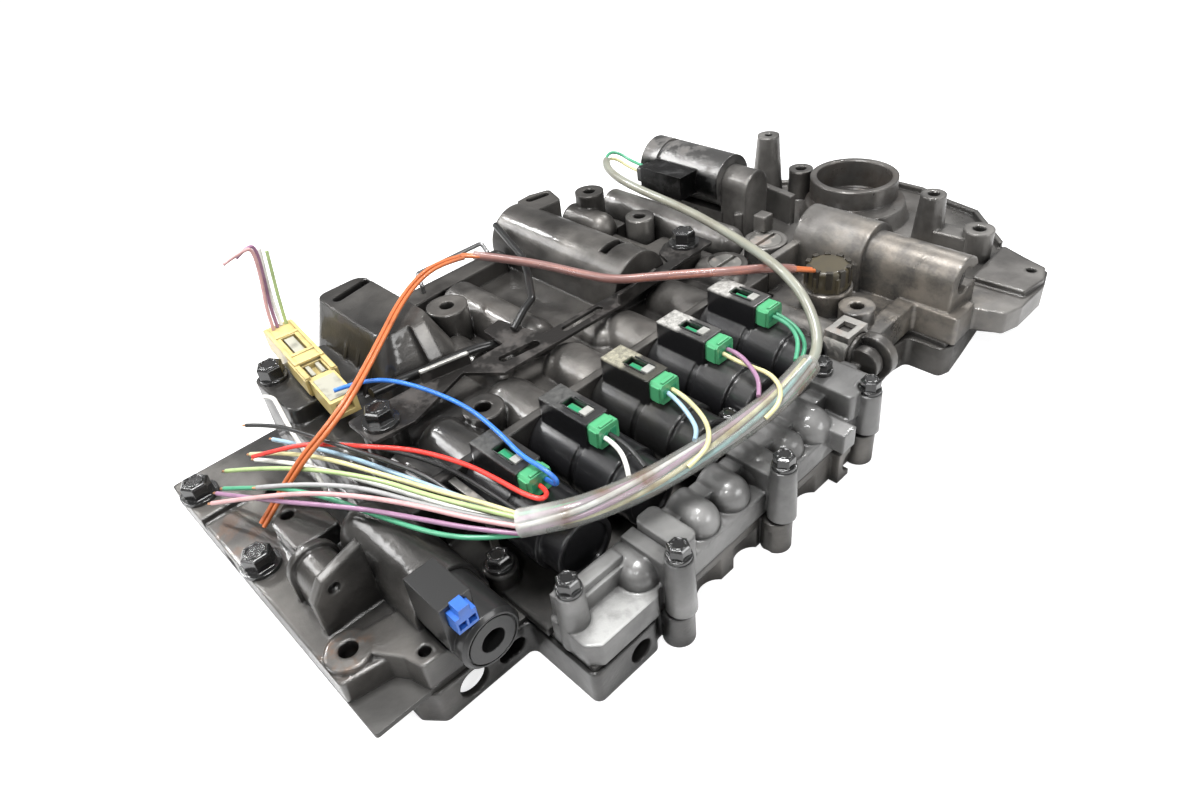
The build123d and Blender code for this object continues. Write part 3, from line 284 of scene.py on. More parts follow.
def rusty(name, color, rust_tint, amount, rough, bare=()):
    """Plated steel that rusts in patches; bare lists stretches with another tint, strength and mask, such as
    a black shell or a painted highlight.
    """
    material, tree, shader = new_material(name)
    patches = ramp(tree, noise(tree, scale=55.0, detail=6.0, rough=0.7), low=0.5, high=0.62)
    flecks = ramp(tree, noise(tree, scale=420.0), low=0.4, high=0.6)
    flecked = mix_color(tree, flecks, rust_tint, darker(rust_tint, fleck_shade))
    tinted = mix_color(tree, times(tree, patches, amount), color, flecked)
    for tint, share, mask in bare:
        tinted = mix_color(tree, times(tree, mask(tree), share), tinted, tint)
    tree.links.new(tinted, shader.inputs["Base Color"])
    roughness = ramp(tree, patches, low=0.0, high=1.0, start=rough, end=rust_rough)
    tree.links.new(roughness, shader.inputs["Roughness"])
    metallic = ramp(tree, patches, low=0.0, high=1.0, start=0.85, end=0.1)
    tree.links.new(metallic, shader.inputs["Metallic"])
    set_inputs(shader, Coat_Weight=0.25, Coat_Roughness=0.2)
    soft_edges(tree, shader, edge=0.5, grain=0.25, grain_scale=600.0)
    return material


bleached = (0.8, 0.8, 0.77)
bleaching = 0.7


def clear_tube(name, tint, stain, thin, thick, open_end=None, pale_end=None):
    """A thin clear sleeve, stained in patches: bleached round pale_end, and not there round open_end."""
    material, tree, shader = new_material(name)
    patches = ramp(tree, noise(tree, scale=70.0, detail=5.0, rough=0.6), low=0.42, high=0.7)
    solid = ramp(tree, patches, low=0.0, high=1.0, start=thin, end=thick)
    color = mix_color(tree, patches, tint, stain)
    if open_end:
        opening = near(tree, open_end, radius=13.0, fade=1.0)
        solid = times(tree, solid, ramp(tree, opening, low=0.0, high=1.0, start=1.0, end=0.0))
    if pale_end:
        faded = times(tree, near(tree, pale_end, radius=8.0, fade=9.0), bleaching)
        color = mix_color(tree, faded, color, bleached)
    tree.links.new(solid, shader.inputs["Alpha"])
    tree.links.new(color, shader.inputs["Base Color"])
    set_inputs(shader, Roughness=0.35, Coat_Weight=0.5, Coat_Roughness=0.12)
    return material


def wire_skin(name, color):
    return plain(name, color, rough=0.38, coat=0.2, edge=0.1, grain=0.05, dirt=0.5)


def paint(material, *names):
    for name in names:
        mesh = nodes[name].data
        mesh.materials.clear()
        mesh.materials.append(material)


# Where stains lie, and where a highlight is painted

def end_rust(tree):
    """Rust where the orange wires end."""
    spot = near(tree, (-186.0, 44.0, 27.0), radius=12.0, fade=16.0)
    return patchy(tree, spot, scale=130.0, low=0.5, high=0.62)


def boss_rust(tree):
    """Rust round the hole of the front lug."""
    spot = near(tree, (-190.0, -38.0, 29.5), radius=6.0, fade=5.0)
    return patchy(tree, spot, scale=150.0, low=0.46, high=0.62)


def middle_black(tree):
    """Thick black oil between the left end and the solenoids."""
    return times(tree, along(tree, "X", -70.0, -108.0), along(tree, "X", -178.0, -162.0))


def wet_left(tree):
    """Oil lies thick at the left end and has drained from the rest."""
    left = along(tree, "X", -60.0, -105.0)
    return ramp(tree, left, low=0.0, high=1.0, start=0.25, end=1.0)


def cover_bare(tree):
    """Rubbed metal on the flat at the left end of the cover."""
    flat = times(tree, near(tree, (-121.0, -91.0, 27.0), radius=11.0, fade=5.0), facing_up(tree))
    return patchy(tree, flat, scale=50.0, low=0.25, high=0.45)


def ring_stain(tree):
    """Brown oil round the port ring."""
    return patchy(tree, near(tree, (171.0, 6.0, 30.0), radius=20.0, fade=26.0), scale=45.0)


def sensor_film(tree):
    """A tan film on the deck round the sensor."""
    return patchy(tree, near(tree, (92.0, -58.0, 30.0), radius=26.0, fade=34.0), scale=50.0)


def rear_shell(tree):
    """The black connector shell on the side of the rear can."""
    return times(tree, along(tree, "X", 104.5, 103.5), along(tree, "Z", 63.0, 62.4))


def lip_highlight_mask(tree):
    """A painted highlight along the lip of the bracket's left arm."""
    return times(tree, along(tree, "Z", 57.4, 57.9), along(tree, "X", -80.0, -84.0))


# Finishes

rust = (0.12, 0.06, 0.03)
brown_oil = (0.06, 0.038, 0.022)
tan_film = (0.36, 0.32, 0.27)
bare_metal = (0.42, 0.42, 0.41)
# Near white for the painted highlight on the bracket's lip
lip_highlight_tint = (0.75, 0.74, 0.7)
shell_black = (0.012, 0.012, 0.012)

oily = cast_surface("oily cast", (0.05, 0.047, 0.044), (0.18, 0.17, 0.157), oil=0.9, rough=0.42, wet=wet_left,
                    stains=[(soot_and_shade, 0.7, middle_black), (rust, 0.4, end_rust), (rust, 0.75, boss_rust)])
cover_grey = cast_surface("cover cast", (0.1, 0.099, 0.097), (0.24, 0.238, 0.233), oil=0.8, rough=0.45,
                          stains=[(bare_metal, 0.9, cover_bare)], metal=0.35, waves=1.0)
grey = cast_surface("grey cast", (0.1, 0.095, 0.09), (0.27, 0.26, 0.245), oil=0.55, rough=0.38,
                    stains=[(brown_oil, 0.5, ring_stain), (tan_film, 0.6, sensor_film)])
plate = plain("plate steel", (0.07, 0.068, 0.065), rough=0.4, metallic=0.6)

dust_grey = dusty("dusty grey top", (0.009, 0.009, 0.01), (0.5, 0.49, 0.46), amount=0.95, rough=0.3)
dust_olive = dusty("dusty olive top", (0.01, 0.01, 0.01), (0.38, 0.36, 0.27), amount=0.95, rough=0.3)
dust_little = dusty("dusty black top", (0.009, 0.009, 0.01), (0.16, 0.16, 0.15), amount=0.4, rough=0.28)

# The rear can's grey is painted lighter than its own dark finish, for the light falling on it; its brown
# patches are real
rear_can_painted_lit = rusty("grey can painted lit", (0.14, 0.138, 0.135), brown_oil, amount=0.3, rough=0.33,
                 bare=[(shell_black, 1.0, rear_shell)])
zinc = rusty("plated steel", (0.34, 0.33, 0.31), (0.16, 0.07, 0.03), amount=0.45, rough=0.36)
# The bracket's lip carries a painted highlight in near white
bracket = rusty("bracket steel", (0.045, 0.042, 0.04), (0.06, 0.04, 0.028), amount=0.2, rough=0.4,
                bare=[(lip_highlight_tint, 0.9, lip_highlight_mask)])

wet_black = plain("black bolt", (0.01, 0.01, 0.01), rough=0.2, coat=1.0, edge=0.6, grain=0.15)
black_rod = plain("black rod", (0.008, 0.008, 0.008), rough=0.32, coat=0.3, edge=0.3, grain=0.05)
spring_steel = plain("spring steel", (0.2, 0.2, 0.2), rough=0.3, metallic=0.9)
bright_steel = plain("bright steel", (0.5, 0.5, 0.5), rough=0.22, metallic=1.0)
alloy = plain("bare alloy", (0.55, 0.55, 0.55), rough=0.35, metallic=0.9)
copper = plain("copper strands", (0.75, 0.38, 0.2), rough=0.4, metallic=1.0, edge=0.1)

black_plastic = plain("black plastic", shell_black, rough=0.36, coat=0.35, edge=0.5, grain=0.05)
# The green, cream, pale and olive plastics get painted shade in corners within reach
green = plain("green plastic", (0.07, 0.33, 0.15), rough=0.28, coat=0.4, grain=0.05, dirt=0.15, reach=1.6)
deep_green = plain("deep green plastic", (0.02, 0.24, 0.11), rough=0.3, coat=0.3, edge=0.3, grain=0.05)
blue = plain("blue plastic", (0.03, 0.13, 0.5), rough=0.32, coat=0.4, grain=0.05)
cream = plain("cream plastic", (0.62, 0.49, 0.2), rough=0.36, coat=0.35, edge=0.6, grain=0.1, dirt=0.6,
              reach=3.0)
pale = plain("pale plastic", (0.36, 0.35, 0.29), rough=0.4, coat=0.2, edge=0.3, grain=0.1, dirt=0.9,
             reach=2.0)
olive = plain("olive plastic", (0.05, 0.04, 0.02), rough=0.45, coat=0.2, edge=1.0, grain=0.05, dirt=0.5,
              reach=3.0)
dark_olive = plain("dark olive plastic", (0.02, 0.016, 0.01), rough=0.55, coat=0.1, grain=0.05)
latch_grey = plain("worn latch", (0.3, 0.3, 0.28), rough=0.6, edge=0.3, grain=0.3, dirt=0.9)


# The pieces that have each finish

paint(oily, "lower_body", "main_body")
paint(cover_grey, "side_cover")
paint(grey, "port_body")
paint(plate, "separator_plate")
paint(dust_grey, "pressure_solenoid_1", "pressure_solenoid_2")
paint(dust_olive, "pressure_solenoid_3")
paint(dust_little, "pressure_solenoid_4", "pressure_solenoid_5")
paint(green, "lead_plug_1", "lead_plug_2", "lead_plug_3", "lead_plug_4", "lead_plug_5")
paint(black_plastic, "shift_solenoid", "rear_plug")
paint(blue, "shift_plug")
paint(rear_can_painted_lit, "rear_solenoid")
paint(olive, "temperature_sensor")
paint(cream, "harness_connector")
paint(bracket, "harness_bracket")
paint(black_rod, "wire_clip")
paint(zinc, "bore_clip", "solenoid_retainer", "screw_plugs")
paint(wet_black, "cover_bolts", "body_bolts", "bracket_bolts")
paint(spring_steel, "edge_clip", "snap_ring", "retaining_pins")
paint(spring_steel, "accumulator_spring", "spool_spring_1", "spool_spring_2")
paint(alloy, "bore_plugs", "spool_valve_1", "spool_valve_2", "accumulator_piston")
paint(bright_steel, "check_balls", "manual_valve")


# Copies of the springs, in place of their nodes


def squeezed_spring(node):
    """A copy of the node's coil, attached to the valve body in place of the node."""
    coil = bpy.data.objects.new(node + "_coil", nodes[node].data.copy())
    bpy.context.scene.collection.objects.link(coil)
    coil.matrix_world = nodes[node].matrix_world.copy()
    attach(coil, "valve_body")
    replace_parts(coil, node)
    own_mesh(coil)


squeezed_spring("accumulator_spring")
squeezed_spring("spool_spring_1")
squeezed_spring("spool_spring_2")


# Small boxes and rims

identity = Matrix.Identity(4)
box_edge = 0.25
box_faces = [(0, 1, 3, 2), (4, 6, 7, 5), (0, 4, 5, 1), (2, 3, 7, 6), (0, 2, 6, 4), (1, 5, 7, 3)]
rim_thickness = 0.45


def about(middle, half):
    """The two ends of a stretch, from its middle and half its length."""
    return middle - half, middle + half


def small_box(name, width, depth, height, material, place=identity):
    """A box with rounded edges, by its two ends along X, Y and Z in millimetres, in the frame of place."""
    points = [place @ Vector((x, y, z)) for x in width for y in depth for z in height]
    mesh = bpy.data.meshes.new(name)
    mesh.from_pydata([tuple(point * mm) for point in points], [], box_faces)
    mesh.materials.append(material)
    obj = bpy.data.objects.new(name, mesh)
    bpy.context.scene.collection.objects.link(obj)
    rounding = obj.modifiers.new("rounding", "BEVEL")
    rounding.width = box_edge * mm
    rounding.segments = 2
    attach(obj, "valve_body")


def head_rim(name, x, y, top, radius):
    """The raised rim round the dished top of a bolt head."""
    bpy.ops.mesh.primitive_torus_add(location=(x * mm, y * mm, top * mm), major_radius=radius * mm,
                                     minor_radius=rim_thickness * mm, major_segments=24, minor_segments=8)
    obj = bpy.context.object
    obj.name = name
    obj.data.materials.append(wet_black)
    bpy.ops.object.shade_smooth()
    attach(obj, "valve_body")


# Rims on the bolt heads: their seats, then the height of the head and the radius of its rim

washer = 1.6
cover_seats = [(-131.0, -83.0, 42.0), (-98.4, -100.0, 42.0), (-42.0, -100.0, 41.0), (20.0, -97.0, 36.0),
               (17.0, -76.4, 38.0)]
inner_cover_seat = [(-30.35, -66.0, 35.5)]
body_seats = [(-191.0, 77.0, 27.0), (-191.0, 21.0, 27.0), (-141.0, 96.0, 48.0)]
front_seat = [(-132.5, -46.0, 27.0)]
bracket_seats = [(-129.0, 25.0, 52.6), (48.0, 25.0, 52.6)]
bolts = [(cover_seats, 4.5, 2.4), (inner_cover_seat, 4.0, 2.4), (body_seats, 6.0, 3.5),
         (front_seat, 4.0, 2.7),
         (bracket_seats, 6.0, 3.5)]
heads = [(seat, head, radius) for seats, head, radius in bolts for seat in seats]
for number, ((x, y, seat_height), head, radius) in enumerate(heads, start=1):
    head_rim("head_rim_" + str(number), x, y, seat_height + head + washer, radius)


# Trim on the solenoids' moulded boxes and on their plugs

sides = [(-1, "left"), (1, "right")]
solenoid_count = 5
first_solenoid_x = 18.7
solenoid_pitch = 32.7
box_offset = -0.75
plug_front = -51.5
entry_offset = 2.2
rib_offset = 5.0
rail_offset = 3.1
rail_depth = (-41.4, -30.6)
rail_height = (moulding_top - 0.2, moulding_top + 0.7)
entry_height = (53.2, 57.2)
rib_height = (51.6, 58.6)
window_floor = 57.4

for number in range(solenoid_count):
    middle = first_solenoid_x - solenoid_pitch * number + box_offset
    tag = "_" + str(number + 1)
    for side, label in sides:
        small_box("wire_entry_" + label + tag, about(middle + side * entry_offset, 1.5),
                  (plug_front - 0.15, plug_front + 1.0), entry_height, deep_green)
        small_box("plug_rib_" + label + tag, about(middle + side * rib_offset, 0.5),
                  (plug_front + 0.8, plug_front + 5.0), rib_height, green)
        small_box("window_rail_" + label + tag, about(middle + side * rail_offset, 0.3),
                  rail_depth, rail_height, black_plastic)
    small_box("window_latch" + tag, about(middle, 2.4), (-42.2, -38.6), (59.6, 60.8), latch_grey)
    small_box("plug_ridge" + tag, about(middle, 3.2), (plug_front + 0.6, plug_front + 2.0), (59.2, 60.2),
              green)
    small_box("latch_tooth" + tag, about(middle, 2.0), (-41.5, -39.0), (window_floor, 59.4), green)
    small_box("latch_tongue" + tag, about(middle, 1.1), (-38.5, -31.0), (window_floor, 58.4), deep_green)


# Trim on the cream connector, in the connector's own frame

connector_front = (-133.0, 45.5)
connector_bottom = 48.0
connector_run = (8.5, 73.5)
connector_length = hypot(*connector_run)
connector_turn = atan2(-connector_run[0], connector_run[1])
connector_place = (Matrix.Translation((*connector_front, connector_bottom))
                   @ Matrix.Rotation(connector_turn, 4, "Z"))
rail_middle = 5.9
cheek_middle = 6.6
finger_middle = 2.2
bar_middles = (35.5, 43.0, 62.0)

for side, label in sides:
    small_box("connector_rail_" + label, about(side * rail_middle, 0.8), (34.0, connector_length - 2.0),
              (9.6, 10.9), cream, connector_place)
    small_box("connector_cheek_" + label, about(side * cheek_middle, 0.7), (22.0, 42.0), (2.0, 9.2), cream,
              connector_place)
    small_box("connector_finger_" + label, about(side * finger_middle, 0.9), (25.0, 33.5), (5.6, 8.4), pale,
              connector_place)
for number, bar_middle in enumerate(bar_middles, start=1):
    small_box("connector_bar_" + str(number), about(0.0, 5.6), about(bar_middle, 0.9), (9.4, 10.6), cream,
              connector_place)
small_box("connector_latch", about(0.0, 2.2), (45.0, 60.0), (7.4, 9.4), pale, connector_place)
small_box("connector_lid", about(0.0, 4.6), (2.0, 20.0), (8.1, 9.0), pale, connector_place)


# Teeth round the sensor's cap

sensor_place = Matrix.Translation((74.0, -41.0, 51.0))
tooth_count = 10
for number in range(tooth_count):
    spoke = sensor_place @ Matrix.Rotation(2 * pi * number / tooth_count, 4, "Z")
    small_box("sensor_tooth_" + str(number + 1), (8.3, 10.6), (-1.5, 1.5), (-8.0, 0.6), dark_olive, spoke)


# Building leads and sleeves

spline_steps = 8


def line(name, points, kind="NURBS"):
    """A curve with no thickness along points in millimetres: a quadratic spline, or straight runs."""
    curve = bpy.data.curves.new(name, "CURVE")
    curve.dimensions = "3D"
    spline = curve.splines.new(kind)
    spline.points.add(len(points) - 1)
    for point, place in zip(spline.points, points):
        point.co = (place[0] * mm, place[1] * mm, place[2] * mm, 1.0)
    if kind == "NURBS":
        spline.order_u = 3
        spline.use_endpoint_u = True
        spline.resolution_u = spline_steps
    return curve


def route(name, points, diameter, material, kind="NURBS"):
    """A round lead along points in millimetres."""
    curve = line(name, points, kind)
    curve.bevel_depth = diameter * mm / 2
    curve.bevel_resolution = 3
    curve.use_fill_caps = True
    obj = bpy.data.objects.new(name, curve)
    bpy.context.scene.collection.objects.link(obj)
    obj.data.materials.append(material)
    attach(obj, "valve_body")
    return obj


def run_length(points):
    """The length of the quadratic spline through these points, in metres."""
    places = [Vector(point) for point in points]
    ends = [places[0]] + [(a + b) / 2 for a, b in zip(places[1:-2], places[2:-1])] + [places[-1]]
    shares = [step / spline_steps for step in range(spline_steps + 1)]
    total = 0.0
    for start, corner, end in zip(ends, places[1:-1], ends[1:]):
        steps = [start.lerp(corner, share).lerp(corner.lerp(end, share), share) for share in shares]
        total += sum((b - a).length for a, b in zip(steps, steps[1:]))
    return total * mm


def cord(node, label, points, diameter, material):
    """A lead along points, in place of the node; points and diameter are in millimetres."""
    obj = route(label, points, diameter, material)
    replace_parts(obj, node)


# The colours of the wires, and the diameters of wires and sleeves

skins = {
    "yellow": wire_skin("yellow wire", (0.6, 0.56, 0.3)),
    "lime": wire_skin("lime wire", (0.38, 0.5, 0.22)),
    "white": wire_skin("white wire", (0.74, 0.74, 0.7)),
    "sky": wire_skin("sky wire", (0.34, 0.5, 0.62)),
    "teal": wire_skin("teal wire", (0.22, 0.45, 0.45)),
    "grey": wire_skin("grey wire", (0.34, 0.34, 0.34)),
    "green": wire_skin("green wire", (0.07, 0.32, 0.18)),
    "purple": wire_skin("purple wire", (0.3, 0.16, 0.26)),
    "pink": wire_skin("pink wire", (0.58, 0.34, 0.34)),
    "black": wire_skin("black wire", (0.02, 0.02, 0.02)),
    "orange": wire_skin("orange wire", (0.5, 0.135, 0.04)),
    "blue": wire_skin("blue wire", (0.03, 0.17, 0.6)),
    "red": wire_skin("red wire", (0.75, 0.04, 0.03)),
}
wire = 1.8
thin_wire = 1.6
main_tube = 10.0
rear_tube = 4.4
sensor_tube = 4.2
conduit = 4.6


# The three sleeves and the wires inside them

main_route = [(-127, -56, 50.5), (-117, -67, 53.5), (-104, -73, 53.3), (-87, -77.5, 52.5), (-65, -80.5, 51.8),
              (-42, -82.5, 51.3), (-18, -83, 51.5), (1, -80, 52)]
rear_route = [(1, -80, 52), (8, -78.9, 52.2), (17, -73, 57), (25, -61, 64), (32, -46, 67), (39, -28, 67.5),
              (49, -5, 65), (58, 24, 64), (63, 48, 63), (66, 72, 63), (69, 92, 64), (75, 106, 65),
              (84, 115, 63)]
orange_end = (-44, 82, 69)
sensor_route = [(-39, 79, 68), (-30, 66, 66), (-21, 50, 64), (-14, 32, 62), (-8, 17, 61), (3, 4, 62),
                (16, -13, 63.5), (27, -26, 64), (38, -33, 62.5), (50, -37, 58), (63.5, -39.5, 52)]

clear = clear_tube("clear sleeve", (0.36, 0.37, 0.35), (0.15, 0.09, 0.045), thin=0.36, thick=0.7,
                   pale_end=main_route[0])
grey_clear = clear_tube("grey sleeve", (0.3, 0.3, 0.25), (0.2, 0.19, 0.15), thin=0.78, thick=0.92)
milky = clear_tube("milky sleeve", (0.32, 0.19, 0.18), (0.2, 0.1, 0.09), thin=0.55, thick=0.8,
                   open_end=sensor_route[-1])


def strands(node, label, points, tints, radius, turns):
    """The wires inside a sleeve, laid round its centre line with a slow twist."""
    guide = bpy.data.objects.new(label + " guide", line(label + " guide", points))
    mesh = bpy.data.meshes.new_from_object(guide)
    places = [vertex.co / mm for vertex in mesh.vertices]
    bpy.data.objects.remove(guide)
    pieces = []
    for number, tint in enumerate(tints):
        strand = []
        for step, place in enumerate(places):
            ahead = places[min(step + 1, len(places) - 1)] - places[max(step - 1, 0)]
            side = ahead.cross(Vector((0, 0, 1))).normalized()
            over = side.cross(ahead).normalized()
            angle = 2 * pi * (number / len(tints) + turns * step / len(places))
            strand.append(place + radius * (cos(angle) * side + sin(angle) * over))
        pieces.append(route(label + "_" + tint + "_" + str(number + 1), strand, wire, skins[tint], "POLY"))
        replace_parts(pieces[-1], node)
    return pieces


main_tints = ("purple", "yellow", "teal", "grey", "green", "purple", "white")
main_strands = strands("main_sleeve", "main_strand", main_route[::-1], main_tints, radius=2.6, turns=0.6)
rear_strands = strands("rear_sleeve", "rear_strand", rear_route, ("teal", "yellow"), radius=0.95, turns=1.5)
sensor_strands = strands("sensor_sleeve", "sensor_strand", [orange_end] + sensor_route, ("orange", "orange"),
                         radius=0.95, turns=0.5)
cord("main_sleeve", "main_sleeve_tube", main_route[::-1], main_tube, clear)
cord("rear_sleeve", "rear_sleeve_tube", rear_route, rear_tube, grey_clear)
cord("sensor_sleeve", "sensor_sleeve_tube", sensor_route, sensor_tube, milky)


# The fan of cut wires

cut_wires = {
    "yellow": [(-125.7, -54.6, 52.6), (-131, -42, 54), (-138, -26, 54.5), (-145, -3, 53), (-153, 26, 50),
               (-161, 53, 43), (-168, 72, 36)],
    "lime": [(-127, -56, 53), (-134, -44, 55), (-142, -27, 56), (-149, -3, 54.5), (-160, 29, 48),
             (-172, 57, 40), (-179, 73, 34)],
    "white": [(-126.3, -55.3, 48), (-133, -43.5, 50.3), (-140.5, -27, 51.6), (-148, -3, 50.5),
              (-156, 26, 46.5), (-163, 48, 42.5), (-169, 63, 39)],
    "sky": [(-124.7, -53.5, 49.4), (-130, -41.5, 51.5), (-135.5, -26, 52.5), (-141, -3, 51), (-147, 26, 47.5),
            (-153, 51, 42.5), (-158, 70, 38.5)],
    "grey": [(-127, -56, 50.6), (-135.5, -43.5, 52.5), (-144.5, -26, 53), (-153, -4, 53), (-161, 12, 51),
             (-169, 28, 47), (-177, 41.5, 43)],
    "green": [(-128, -57.1, 46.6), (-138.5, -50.5, 48.5), (-148, -39, 50), (-156, -18, 50.2), (-163, 6, 49.5),
              (-170, 29, 45), (-176, 46, 39.5), (-184, 64, 33.5)],
    "purple": [(-129.2, -58.4, 49), (-139, -47.5, 51.3), (-149.5, -30, 53), (-160, -9.5, 52.5),
               (-170.5, 14, 47.5), (-178, 36, 41), (-187, 65, 32.5)],
    "pink": [(-128.7, -57.9, 51.6), (-137.5, -46.5, 54), (-147, -28.5, 56), (-157, -9, 55.5),
             (-167, 12, 51.5), (-178, 34, 44), (-191, 59, 34)],
    "black": [(-125.7, -54.5, 46.6), (-131.5, -42, 45.5), (-133, -27, 49.3), (-135.5, -15, 53.3),
              (-141, 0, 55.4), (-147.5, 17.5, 56), (-152.5, 39.5, 54), (-157, 62, 50), (-163.6, 77, 46)],
}
copper_length = 2.2
copper_width = 1.0


def bare_end(name, points):
    """The copper strands that show where a wire was cut."""
    end = Vector(points[-1])
    before = Vector(points[-2])
    tip = end + (end - before).normalized() * copper_length
    return route(name, [end, (end + tip) / 2, tip], copper_width, copper)


for tint, points in cut_wires.items():
    tip = bare_end(tint + "_copper_end", points)
    cord("cut_wire_" + tint, tint + "_cut_end", points, wire, skins[tint])

white_stub = [(-157, 30, 27), (-157, 30, 33), (-156, 38, 38.5), (-154.5, 46, 42.5), (-153.8, 54, 46.5),
              (-152.2, 63, 48.8), (-149.8, 74, 49.5), (-148.4, 81.5, 49.6), (-151.2, 84.6, 49.5)]
cord("cut_wire_white", "white_stub_wire", white_stub, wire, skins["white"])


# Single leads

orange_route = [(-182, 38, 30), (-175, 37.5, 36), (-168, 36, 43), (-159, 32, 53), (-150, 29, 60),
                (-139, 30, 65.5), (-125, 38, 68.5), (-106, 53, 70), (-87, 69, 70.5), (-70, 80, 70.5),
                (-55, 84.5, 70), orange_end]
orange_gap = 2.3
orange_drop = 0.4
orange_beside = [(x, y - orange_gap, z - orange_drop) for x, y, z in orange_route]
cord("orange_wire_1", "orange_lead_1", orange_route[::-1], wire, skins["orange"])
cord("orange_wire_2", "orange_lead_2", orange_beside[::-1], wire, skins["orange"])

blue_route = [(-134.0, 49.0, 59.4), (-125, 44, 61), (-117, 33, 62.4), (-111.5, 14, 63), (-108.5, -8, 63.5),
              (-110, -28, 62.8), (-112.5, -42, 62.4), (-111.6, -53.5, 62), (-110.8, -58.5, 59.6),
              (-110.6, -56.8, 55.8), (-110.6, -51.5, 55.8)]
red_route = [(-113.5, -51.5, 54.8), (-113.5, -56.2, 54.8), (-118, -58.6, 55.8), (-120.8, -52, 56.6),
             (-122.5, -41, 57.6), (-125, -26, 58), (-132, -4, 57), (-142, 16, 54), (-154, 38, 51.5),
             (-164, 51, 47), (-170, 60, 43)]
black_route = [(-124.4, -53.2, 51.6), (-124.9, -39, 51.4), (-126.4, -20, 51.8), (-132, 0, 52),
               (-140.5, 19, 52), (-148, 36, 49)]
cord("blue_wire", "blue_lead", blue_route[::-1], wire, skins["blue"])
cord("red_wire", "red_lead", red_route, wire, skins["red"])
cord("black_lead", "black_lead_wire", black_route, wire, skins["black"])
conduit_route = [(-61.5, 37, 47.4), (-69.4, 38.2, 49.6), (-78.1, 39.6, 50.5), (-86, 40.7, 50.5),
                 (-99.5, 42.5, 51), (-112, 44.1, 52), (-122, 43.6, 53.3)]
cord("black_lead", "black_conduit", conduit_route, conduit, black_rod)


# Short leads on the plugs

shortest_cord = 0.03
plug_leads = [
    ("green", [(16.8, -51.5, 55.4), (16.8, -57.5, 55.2), (14, -64.5, 54.4), (7.5, -71, 53.6),
               (-1, -75.3, 53.4)]),
    ("green", [(19.2, -51.5, 55.4), (19.2, -58, 54.6), (16.5, -66.5, 52.4), (9.5, -73.2, 50.8),
               (0.5, -75.6, 50.2)]),
    ("purple", [(-13.5, -51.5, 55.6), (-14, -57.5, 56.4), (-18.5, -67, 56.8), (-23.8, -75.5, 56.4),
                (-30, -79.4, 55.4)]),
    ("yellow", [(-16, -51.5, 54.8), (-15.9, -58, 54), (-16.5, -66, 55), (-18.8, -75.5, 57.8),
                (-23, -83.3, 58.9), (-27.5, -87.6, 57.6), (-32.5, -88.6, 55.2), (-36.5, -87.4, 53.2)]),
    ("yellow", [(-46.5, -51.5, 55.4), (-47.5, -57.5, 56.2), (-51.5, -67.5, 57.6), (-55.5, -75.5, 58.6),
                (-60.7, -81.9, 58.6), (-66.5, -85, 57), (-74.5, -83.7, 54.4)]),
    ("sky", [(-48.8, -51.5, 55), (-49.6, -57.5, 54.4), (-53.4, -67, 53.6), (-57.4, -73.5, 53.4),
             (-62, -75.9, 53.6)]),
    ("white", [(-82.4, -51.5, 55.2), (-82.4, -57, 55), (-85.2, -64.8, 53.8), (-89.5, -70.1, 52.6)]),
    ("black", [(-79.9, -51.5, 55.2), (-79.9, -58, 55.2), (-81.5, -66, 54.8), (-84, -72.8, 54.6)]),
    ("green", [(84.3, 115.3, 64), (90, 119.6, 64.8), (96.4, 117.6, 63.4), (98.6, 108.5, 58.8),
               (98.6, 99, 58.2)]),
    ("yellow", [(84.3, 115.3, 62), (89.6, 119.8, 61.2), (95, 117.6, 60), (96.2, 109, 56), (96.2, 99, 55.4)]),
]
for number, (tint, points) in enumerate(plug_leads, start=1):
    label = "plug_lead_" + str(number)
    if run_length(points) < shortest_cord:
        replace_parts(route(label, points, wire, skins[tint]), "plug_leads")
    else:
        cord("plug_leads", label, points, wire, skins[tint])


# Leads that stand up from the cream connector

connector_leads = [
    ("pink", [(-127.5, 116, 58), (-127, 117, 67), (-124, 117.8, 80), (-122.2, 118, 95), (-125.5, 117.4, 97.6),
              (-136.5, 117, 95)]),
    ("purple", [(-125.3, 116.5, 58), (-124.6, 118.5, 67), (-122, 119.6, 80), (-120.2, 120, 94.6),
                (-123, 119.6, 97.4), (-130, 119, 94.4)]),
    ("white", [(-123.2, 117, 58), (-122.4, 119.8, 68), (-120, 121.4, 82), (-118.4, 122, 93)]),
    ("lime", [(-121.2, 116.2, 58), (-120.2, 117.2, 68), (-118, 118.6, 82), (-116.6, 119.2, 92)]),
]
for number, (tint, points) in enumerate(connector_leads, start=1):
    label = "connector_lead_" + str(number)
    cord("connector_leads", label, points, thin_wire, skins[tint])


# Camera

camera_place = (-0.225, -0.222, 0.245)
camera_azimuth = radians(-39.74)
camera_elevation = radians(37.79)
camera_roll = radians(7.26)

back = Vector((sin(camera_azimuth) * cos(camera_elevation), -cos(camera_azimuth) * cos(camera_elevation),
               sin(camera_elevation)))
right = Vector((cos(camera_azimuth), sin(camera_azimuth), 0.0))
upright = Matrix((right, back.cross(right), back)).transposed()
turn = upright @ Matrix.Rotation(-camera_roll, 3, "Z")
lens = bpy.data.cameras.new("camera")
lens.sensor_width = 36.0
lens.lens = 24.63
lens.clip_start = 0.01
camera = bpy.data.objects.new("camera", lens)
bpy.context.scene.collection.objects.link(camera)
camera.matrix_world = Matrix.Translation(camera_place) @ turn.to_4x4()
bpy.context.scene.camera = camera


# Light: name, place, width, height and power

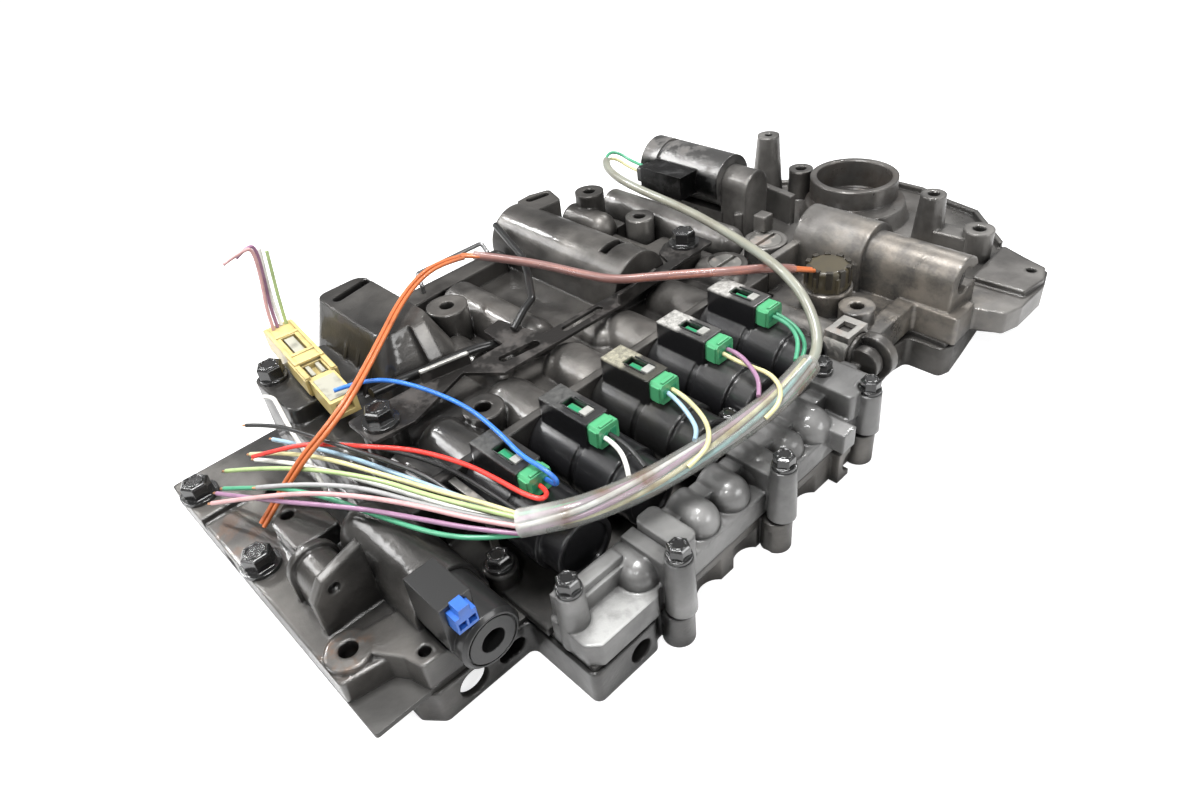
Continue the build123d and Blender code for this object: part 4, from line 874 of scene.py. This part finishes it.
lamp_target = Vector((0.0, 0.0, 0.03))
softboxes = [
    ("overhead window", (-0.1, 0.05, 1.2), 0.45, 0.35, 18.0),
    ("back window", (-0.55, 0.95, 0.8), 0.5, 0.3, 6.0),
    ("left window", (-1.0, 0.1, 0.75), 0.3, 0.7, 5.0),
    ("front fill", (0.3, -1.1, 0.6), 0.8, 0.5, 7.0),
    ("right lamp", (0.9, 0.2, 1.0), 0.12, 0.12, 5.0),
    ("left lamp", (-0.75, -0.5, 1.0), 0.12, 0.12, 4.0),
    ("back lamp", (-0.2, 1.0, 0.9), 0.12, 0.12, 4.0),
]
for name, place, width, height, power in softboxes:
    data = bpy.data.lights.new(name, "AREA")
    data.shape = "ELLIPSE"
    data.size = width
    data.size_y = height
    data.energy = power
    lamp = bpy.data.objects.new(name, data)
    bpy.context.scene.collection.objects.link(lamp)
    lamp.location = place
    lamp.rotation_euler = (lamp_target - Vector(place)).to_track_quat("-Z", "Y").to_euler()


# Floor and room

floor_size = 60.0
floor_drop = 0.4
floor_glow = 0.8
room_light = 0.28
white = (1.0, 1.0, 1.0, 1.0)
floor_grey = (0.55, 0.55, 0.55, 1.0)

bpy.ops.mesh.primitive_plane_add(size=floor_size, location=(0.0, 0.0, -floor_drop * mm))
floor = bpy.context.object
floor.name = "floor"
pale_floor, floor_tree, floor_shader = new_material("pale floor")
set_inputs(floor_shader, Base_Color=floor_grey, Roughness=0.9, Emission_Color=white)
seen = floor_tree.nodes.new("ShaderNodeLightPath").outputs["Is Camera Ray"]
floor_tree.links.new(times(floor_tree, seen, floor_glow), floor_shader.inputs["Emission Strength"])
floor.data.materials.append(pale_floor)

world = bpy.data.worlds.new("white room")
bpy.context.scene.world = world
world.use_nodes = True
room = world.node_tree
backdrop = room.nodes["Background"]
backdrop.inputs["Color"].default_value = white
seen = room.nodes.new("ShaderNodeLightPath").outputs["Is Camera Ray"]
room.links.new(ramp(room, seen, low=0.0, high=1.0, start=room_light, end=1.0), backdrop.inputs["Strength"])

bpy.context.scene.view_settings.view_transform = "Standard"
